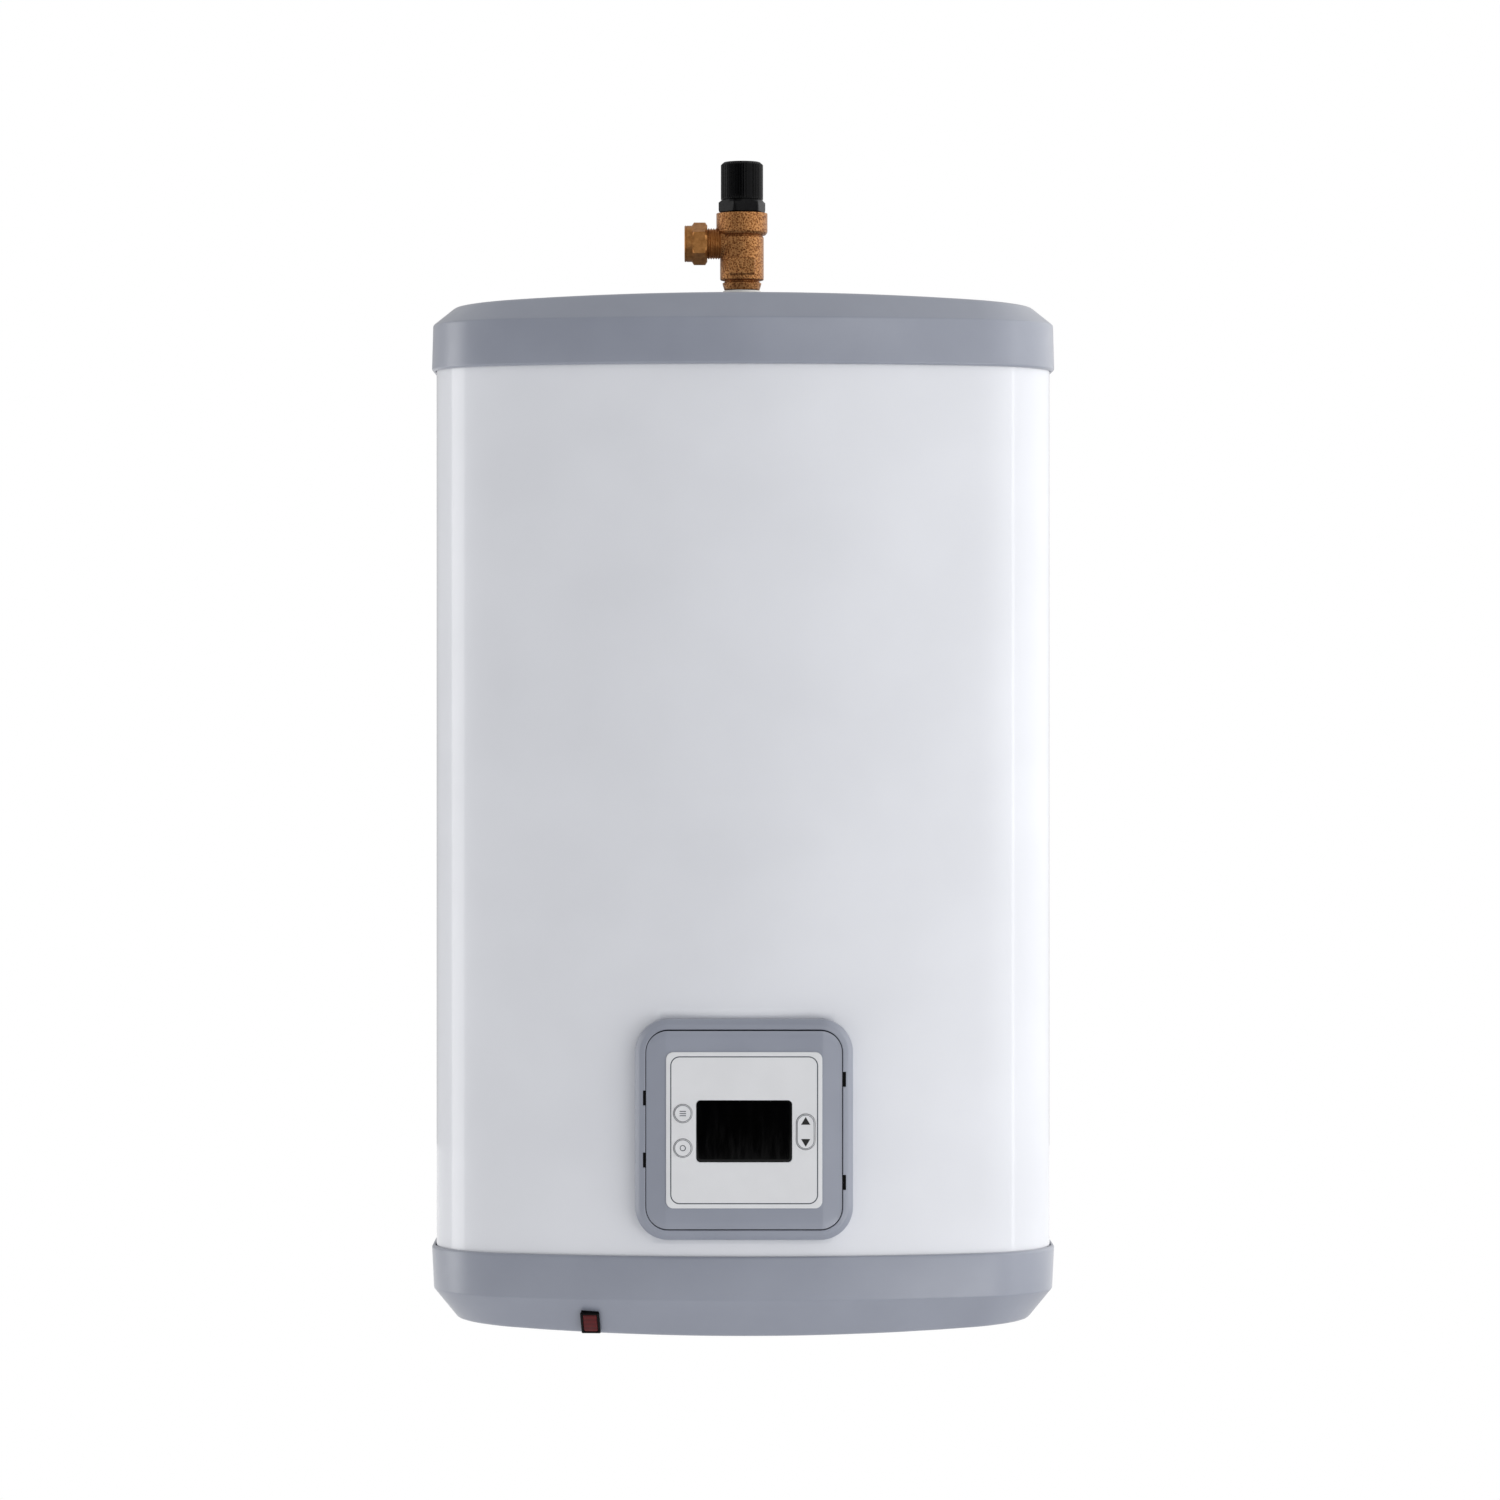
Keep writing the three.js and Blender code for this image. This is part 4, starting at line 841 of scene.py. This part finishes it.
def makeRoundKey(name, node, body, z):
    # cap with a soft rim and a shallow dish, its guide collar and stem behind
    r, front = keyForm["radius"], keyForm["front"]
    profile = scaled([(2, 3.2), (2, 7.2), (7.6, 7.2), (7.6, 8.2)]) + [(r, 8.2 * mm)]
    rim = filletLine([(r, 8.2 * mm), (r, front), (r - 1.4 * mm, front)], [keyForm["rim"]], 5)
    dish = [(r * s, front - 0.22 * mm * (1 - (s / 0.78) ** 2)) for s in (0.78, 0.6, 0.4, 0.2, 0.05)]
    grid = lathe(profile + rim[1:].tolist() + dish, 64, "-y", panelAt + np.array([keyForm["x"], 0, z]))
    key = closedPiece(name, grid)
    return finishPiece(key, materials["film"], body, [node])


def makeRocker():
    # pill-shaped cap on a wider foot, with a stem and a printed arrow at each end
    form, front = rockerForm, keyForm["front"]
    outline = form["width"] / 2 - 0.05 * mm
    rim = filletLine([(0, 7 * mm), (0, front), (1.6 * mm, front)], [keyForm["rim"]], 5)
    rows = [(3 * mm, 7 * mm)] + rim.tolist() + [(3.2 * mm, front - 0.05 * mm), (5 * mm, front - 0.1 * mm)]
    at = panelAt + np.array([form["x"], 0, form["z"]])
    rocker = closedPiece("rocker_cap", slabGrid(form["width"], form["height"], outline, rows, 16) + at)
    finishPiece(rocker, materials["film"], "arrow_rocker", ["arrow_key"])
    foot = slab("rocker_foot", 15.5 * mm, 27 * mm, 7.7 * mm, 6.4 * mm, 7.4 * mm, 0.2 * mm, at=at, steps=12)
    finishPiece(foot, materials["film"], "arrow_rocker")
    for name, side in (("up", 1), ("down", -1)):
        stemAt = at + np.array([0, 0, side * form["stemZ"]])
        stem = rodPiece(f"rocker_stem_{name}", 2 * mm, 3.2 * mm, 6.5 * mm, stemAt, "-y")
        finishPiece(stem, materials["film"], "arrow_rocker")
        corners = np.array([(-3.2, -2.65), (3.2, -2.65), (0, 2.65)]) * mm * np.array([1, side])
        rows = [np.column_stack([corners[:, 0], np.full(3, -depth), corners[:, 1] + side * form["arrowZ"]])
                for depth in (front - 0.08 * mm, front + 0.03 * mm)]
        arrow = closedPiece(f"arrow_{name}", np.stack(rows) + at)
        finishPiece(arrow, materials["inkBlack"], "arrow_rocker")


def makeKeyMarks():
    # plain marks: three bars on the upper key, a ring on the lower one, a thin outline inside each rim
    form = keyForm
    depth = form["front"] - 0.16 * mm
    for step in (-1, 0, 1):
        at = panelAt + np.array([form["x"], -depth, form["upper"] + step * 1.5 * mm])
        bar = boxPiece(f"mode_mark_{step + 2}", (4.4 * mm, 0.12 * mm, 0.55 * mm), at)
        finishPiece(bar, materials["inkGrey"], "mode_button")
    at = panelAt + np.array([form["x"], 0, form["lower"]])
    ring = inkLoop("set_mark", 4.2 * mm, 4.2 * mm, 2.09 * mm, 0.55 * mm, depth + 0.06 * mm, at)
    finishPiece(ring, materials["inkGrey"], "set_button")
    inset, line, front = form["outlineInset"], form["outlineWidth"], form["front"] + 0.02 * mm
    across = 2 * (form["radius"] - inset)
    pill = (rockerForm["width"] - 2 * inset, rockerForm["height"] - 2 * inset)
    outlines = [("mode_outline", "mode_button", (across, across), form["x"], form["upper"]),
                ("set_outline", "set_button", (across, across), form["x"], form["lower"]),
                ("rocker_outline", "arrow_rocker", pill, rockerForm["x"], rockerForm["z"])]
    for name, body, (width, height), x, z in outlines:
        at = panelAt + np.array([x, 0, z])
        outline = inkLoop(name, width, height, width / 2 - 0.01 * mm, line, front, at, 16)
        finishPiece(outline, materials["inkGrey"], body)


makeBezel()
makeCover()
makeSeamAndSlotShade()
makeLabel()
makeWindow()
makeRoundKey("mode_key_cap", "mode_key", "mode_button", keyForm["upper"])
makeRoundKey("set_key_cap", "set_key", "set_button", keyForm["lower"])
makeRocker()
makeKeyMarks()
print("control panel made")


# relief valve; heights run up from the crown of the top cap

crownZ = topHigh.z
valveAt = np.array([valveX, valveY, crownZ])
valveForm = {"outletZ": 49.5 * mm, "padZ": 32.3 * mm, "skin": 0.38 * mm}
nutForm = {"flats": 27 * mm, "start": 25.3 * mm, "hexEnd": 36.6 * mm, "end": 42 * mm, "nose": 13.4 * mm,
           "turn": math.pi / 6}
bonnetForm = {"flats": 30.6 * mm, "turn": math.radians(41.2)}
knobForm = {"ribs": 52, "ribDepth": 0.55 * mm, "markWidth": 0.1, "markAngle": 0.35 - math.pi / 2}
threadForm = {"start": 15.2 * mm, "end": 33 * mm, "pitch": 1.81 * mm, "crest": 11.35 * mm, "depth": 0.85 * mm}


def makeValveBody():
    # casting: turned core, side neck and front pad melted into one skin, then bored
    corners = scaled([(10.2, -40), (10.2, 15.4), (12.9, 15.6), (14.4, 20.6), (12.6, 21.2), (12.6, 22.1),
                      (15.95, 22.8), (15.95, 54.2), (14.5, 55), (17.4, 55.9), (18.7, 57.8), (18.7, 71.7)])
    core = filletLine(corners, [r * mm for r in (0, 0.2, 0.5, 0.2, 0.2, 0.8, 0.4, 0.3, 0.6, 0.9)], 4)
    body = closedPiece("valve_casting", lathe(core, 96, "z", valveAt))
    neckAt = valveAt + np.array([0, 0, valveForm["outletZ"]])
    neck = closedPiece("neck", lathe(scaled([(11.6, 4), (11.6, 15.3)]), 72, "-x", neckAt))
    pad = slab("pad", 18.8 * mm, 12.1 * mm, 0.8 * mm, 8 * mm, 17.2 * mm, 0.4 * mm,
               at=valveAt + np.array([0, 0, valveForm["padZ"]]))
    for extra in (neck, pad):
        join = body.modifiers.new("join", "BOOLEAN")
        join.operation, join.solver, join.object = "UNION", "EXACT", extra
    skin = body.modifiers.new("skin", "REMESH")
    skin.mode, skin.voxel_size = "VOXEL", valveForm["skin"]
    soft = body.modifiers.new("soft", "SMOOTH")
    soft.factor, soft.iterations = 0.5, 5
    settle(body)
    for extra in (neck, pad):
        bpy.data.objects.remove(extra)
    inlet = closedPiece("bore", lathe(scaled([(7, -50), (7, 37), (12.6, 37), (12.6, 80)]), 64, "z", valveAt))
    outlet = closedPiece("bore", lathe(scaled([(6.6, 5), (6.6, 30)]), 48, "-x", neckAt))
    cutBy(body, [inlet, outlet])
    return finishPiece(body, materials["castBrass"], replaces=["valve_body"], degrees=60)


def makeOutletThread():
    # parallel pipe thread drawn as rings one pitch apart
    form = threadForm
    along = np.linspace(form["start"], form["end"], 120)
    wave = 0.5 - 0.5 * np.cos(2 * math.pi * (along - form["start"]) / form["pitch"])
    outer = np.column_stack([form["crest"] - form["depth"] * wave, along])
    profile = np.concatenate([[(7.8 * mm, form["start"])], outer, [(7.8 * mm, form["end"])]])
    at = valveAt + np.array([0, 0, valveForm["outletZ"]])
    thread = closedPiece("outlet_thread", lathe(profile, 72, "-x", at), False, False, True)
    return finishPiece(thread, materials["brass"], degrees=50)


def makeOutletNut():
    # turned outline limited by a hexagon: chamfered at both ends of its flats, with a grooved round nose
    form = nutForm
    start, hexEnd, end, flats, nose = (form[k] for k in ("start", "hexEnd", "end", "flats", "nose"))
    corner = flats / math.sqrt(3)
    outline = [(11.65 * mm, start), (flats / 2 - 0.3 * mm, start), (flats / 2 + 0.1 * mm, start + 0.25 * mm),
               (corner, start + 1.5 * mm)]
    outline += [(corner, z) for z in np.linspace(start + 2 * mm, hexEnd - 2 * mm, 4)]
    outline += [(corner, hexEnd - 1.5 * mm), (nose + 0.2 * mm, hexEnd - 0.2 * mm), (nose - 0.15 * mm, hexEnd)]
    outline += [(nose + a, end + b) for a, b in scaled([(-0.15, -1.7), (-0.4, -1.5), (-0.4, -1.2), (-0.1, -1.0),
                                                       (-0.1, -0.5), (-0.6, 0)])]
    outline += [(a, end + b) for a, b in scaled([(8.6, 0), (7.9, -0.7), (7.9, -2.5), (11.65, -6)])]
    at = valveAt + np.array([0, 0, valveForm["outletZ"]])
    grid = lathe(outline, 144, "-x", at, hexLimit(flats, form["turn"]))
    nut = closedPiece("outlet_nut_turned", grid, False, False, True)
    finishPiece(nut, materials["brass"], replaces=["outlet_nut"], degrees=20)
    ring = filletLine(scaled([(7.7, 33.3), (9.2, 33.3), (10.4, 34.6), (9, 37.3), (7.7, 37.3)]), [0.3 * mm] * 3, 4)
    olive = closedPiece("outlet_olive_turned", lathe(ring, 64, "-x", at), False, False, True)
    finishPiece(olive, materials["brass"], replaces=["outlet_olive"])


def makeBonnet():
    # hexagonal cap nut with a turned neck for the knob
    outline = scaled([(9.5, 64), (12.2, 64), (12.2, 71.9), (15.0, 71.9), (16.9, 72.7), (17.4, 74), (17.4, 78),
                      (17.4, 79.4), (15.4, 81), (13, 81.1), (13, 83.3), (12.7, 83.5), (3.1, 83.5), (3.1, 76),
                      (9.5, 76)])
    grid = lathe(outline, 120, "z", valveAt, hexLimit(bonnetForm["flats"], bonnetForm["turn"]))
    bonnet = closedPiece("bonnet_moulding", grid, False, False, True)
    return finishPiece(bonnet, materials["nylonBlack"], replaces=["valve_bonnet"], degrees=22)


def makeKnob():
    # quarter-turn test knob: a rib is where minus the cosine of the angle times the count is positive,
    # it fades out at the foot and the crown, and a flat stripe without ribs marks the front
    form = knobForm
    corners = scaled([(15.45, 81.8), (15.45, 107), (13.1, 109.1), (0.4, 109.5)])
    outer = filletLine(corners, [0.8 * mm, 1.2 * mm], 6)
    sides = np.linspace(0, 1, 14)[1:-1, None]
    outer = np.concatenate([outer[:1], outer[0] * (1 - sides) + outer[1] * sides, outer[1:]])
    inner = scaled([(0.4, 104), (2.8, 104), (2.8, 84.6), (13.5, 84.6), (13.5, 81.8)])

    def ribs(angle, radius, height):
        onSide = np.clip((radius - 14.6 * mm) / (0.5 * mm), 0, 1) * np.clip((height - 82.6 * mm) / mm, 0, 1)
        wave = np.maximum(0, -np.cos(angle * form["ribs"])) ** 0.6
        apart = np.abs((angle - form["markAngle"] + math.pi) % (2 * math.pi) - math.pi)
        return radius - form["ribDepth"] * wave * onSide * np.clip(apart / form["markWidth"] - 1, 0, 1)

    grid = lathe(np.concatenate([inner, outer]), form["ribs"] * 8, "z", valveAt, ribs)
    knob = closedPiece("knob_moulding", grid)
    return finishPiece(knob, materials["nylonBlack"], "knob", ["test_knob"], degrees=40)


def makeCollar():
    # white sleeve round the valve's neck, rounded at its upper edge
    outline = filletLine(scaled([(10.9, -19), (13.9, -19), (13.9, 15.1), (10.9, 15.1)]), [0.3 * mm, 0.8 * mm], 5)
    collar = closedPiece("neck_collar", lathe(outline, 72, "z", valveAt), False, False, True)
    return finishPiece(collar, materials["nylonWhite"], replaces=["valve_collar"])


makeValveBody()
makeOutletThread()
makeOutletNut()
makeBonnet()
makeKnob()
makeCollar()
print("relief valve made")


# studio: floor, lights and camera

studio = {
    "floorZ": -1.5, "floorRadius": 14.0, "fadeFrom": 2.5, "fadeTo": 5.5, "lightsAim": (0, -0.23, -0.2),
    # brightness of the surround toward each side
    "surround": {"right": (0, 1, 1.5), "left": (0, -1, 0.5), "back": (1, 1, 0.34), "above": (2, 1, 0.4)},
    # place, size across and up, power
    "softboxes": {"strip_right": ((2.6, -0.88, -0.1), (0.16, 2.6), 3.6),
                  "low_right": ((1.8, -2.4, -1.2), (1.6, 0.8), 9),
                  "rim_left": ((-2.6, 0.2, 0.0), (1.0, 2.4), 14),
                  "front_soft": ((0.9, -3.7, 0.9), (1.6, 1.0), 8)},
    "cameraX": -28 * mm, "cameraAway": 4.0, "cameraBelowCrown": 0.2931, "lens": 138.5,
    "shift": (0.0309, -0.0251)}


def makeFloor():
    # pale disc that fades to the white surround, so that no horizon shows
    radii = np.concatenate([[0.05], np.linspace(0.5, studio["floorRadius"], 28)])
    grid = lathe(np.column_stack([radii, np.full(len(radii), studio["floorZ"])]), 96)
    floor = addObject("studio_floor", meshFromGrid("studio_floor", grid, startCap=True))
    material, tree, place = newMaterial("pale_studio_floor")
    apart = addNode(tree, "ShaderNodeVectorMath", {"operation": "LENGTH"}, {0: place}).outputs["Value"]
    fade = addNode(tree, "ShaderNodeMapRange", {1: studio["fadeFrom"], 2: studio["fadeTo"], 3: 0.0, 4: 1.0},
                   {0: apart})
    cloud = addNode(tree, "ShaderNodeTexNoise", {"Scale": 1 / 0.4, "Detail": 3}, {"Vector": place})
    tint = addNode(tree, "ShaderNodeValToRGB", {"stops": [(0.3, "#F2F2F3"), (0.7, "#F6F6F7")]}, {"Fac": cloud})
    matt = addNode(tree, "ShaderNodeBsdfDiffuse", {}, {"Color": tint})
    glow = addNode(tree, "ShaderNodeEmission", {"Color": (1, 1, 1, 1), "Strength": 1.0})
    both = addNode(tree, "ShaderNodeMixShader", {}, {0: fade, 1: matt, 2: glow})
    addNode(tree, "ShaderNodeOutputMaterial", {}, {"Surface": both})
    floor.data.materials.append(material)


def makeWorld():
    # the camera sees plain white; the object is lit by a surround brighter toward some sides than others
    world = bpy.data.worlds.new("studio")
    world.use_nodes = True
    tree = world.node_tree
    tree.nodes.clear()
    toward = addNode(tree, "ShaderNodeTexCoord").outputs["Generated"]
    parts = addNode(tree, "ShaderNodeSeparateXYZ", {}, {0: toward}).outputs
    level = addNode(tree, "ShaderNodeValue")
    level.outputs[0].default_value = 0.0
    for axis, sign, brightness in studio["surround"].values():
        lobe = addNode(tree, "ShaderNodeMath", {"operation": "MULTIPLY", 1: sign}, {0: parts[axis]})
        lobe = addNode(tree, "ShaderNodeMath", {"operation": "MAXIMUM", 1: 0.0}, {0: lobe})
        level = addNode(tree, "ShaderNodeMath", {"operation": "MULTIPLY_ADD", 1: brightness}, {0: lobe, 2: level})
    seen = addNode(tree, "ShaderNodeLightPath").outputs["Is Camera Ray"]
    strength = addNode(tree, "ShaderNodeMix", {3: 1.0}, {0: seen, 2: level})
    sky = addNode(tree, "ShaderNodeBackground", {"Color": (1, 1, 1, 1)}, {"Strength": strength})
    addNode(tree, "ShaderNodeOutputWorld", {}, {"Surface": sky})
    scene.world = world


def addSoftbox(name, at, size, power):
    light = bpy.data.lights.new(name, "AREA")
    light.shape, light.size, light.size_y, light.energy = "RECTANGLE", size[0], size[1], power
    lamp = bpy.data.objects.new(name, light)
    lamp.location = at
    lamp.rotation_euler = (Vector(studio["lightsAim"]) - Vector(at)).to_track_quat("-Z", "Y").to_euler()
    scene.collection.objects.link(lamp)


def makeCamera():
    form = studio
    camera = bpy.data.cameras.new("camera")
    camera.sensor_width, camera.lens, camera.clip_end = 36, form["lens"], 100
    camera.shift_x, camera.shift_y = form["shift"]
    view = bpy.data.objects.new("camera", camera)
    view.location = (form["cameraX"], caseForm["frontY"] - form["cameraAway"], crownZ - form["cameraBelowCrown"])
    view.rotation_euler = (math.pi / 2, 0, 0)
    scene.collection.objects.link(view)
    scene.camera = view


makeFloor()
makeWorld()
for lampName, (lampAt, lampSize, lampPower) in studio["softboxes"].items():
    addSoftbox(lampName, lampAt, lampSize, lampPower)
makeCamera()
scene.view_settings.view_transform = "Standard"
scene.view_settings.look = "None"
print("studio ready")
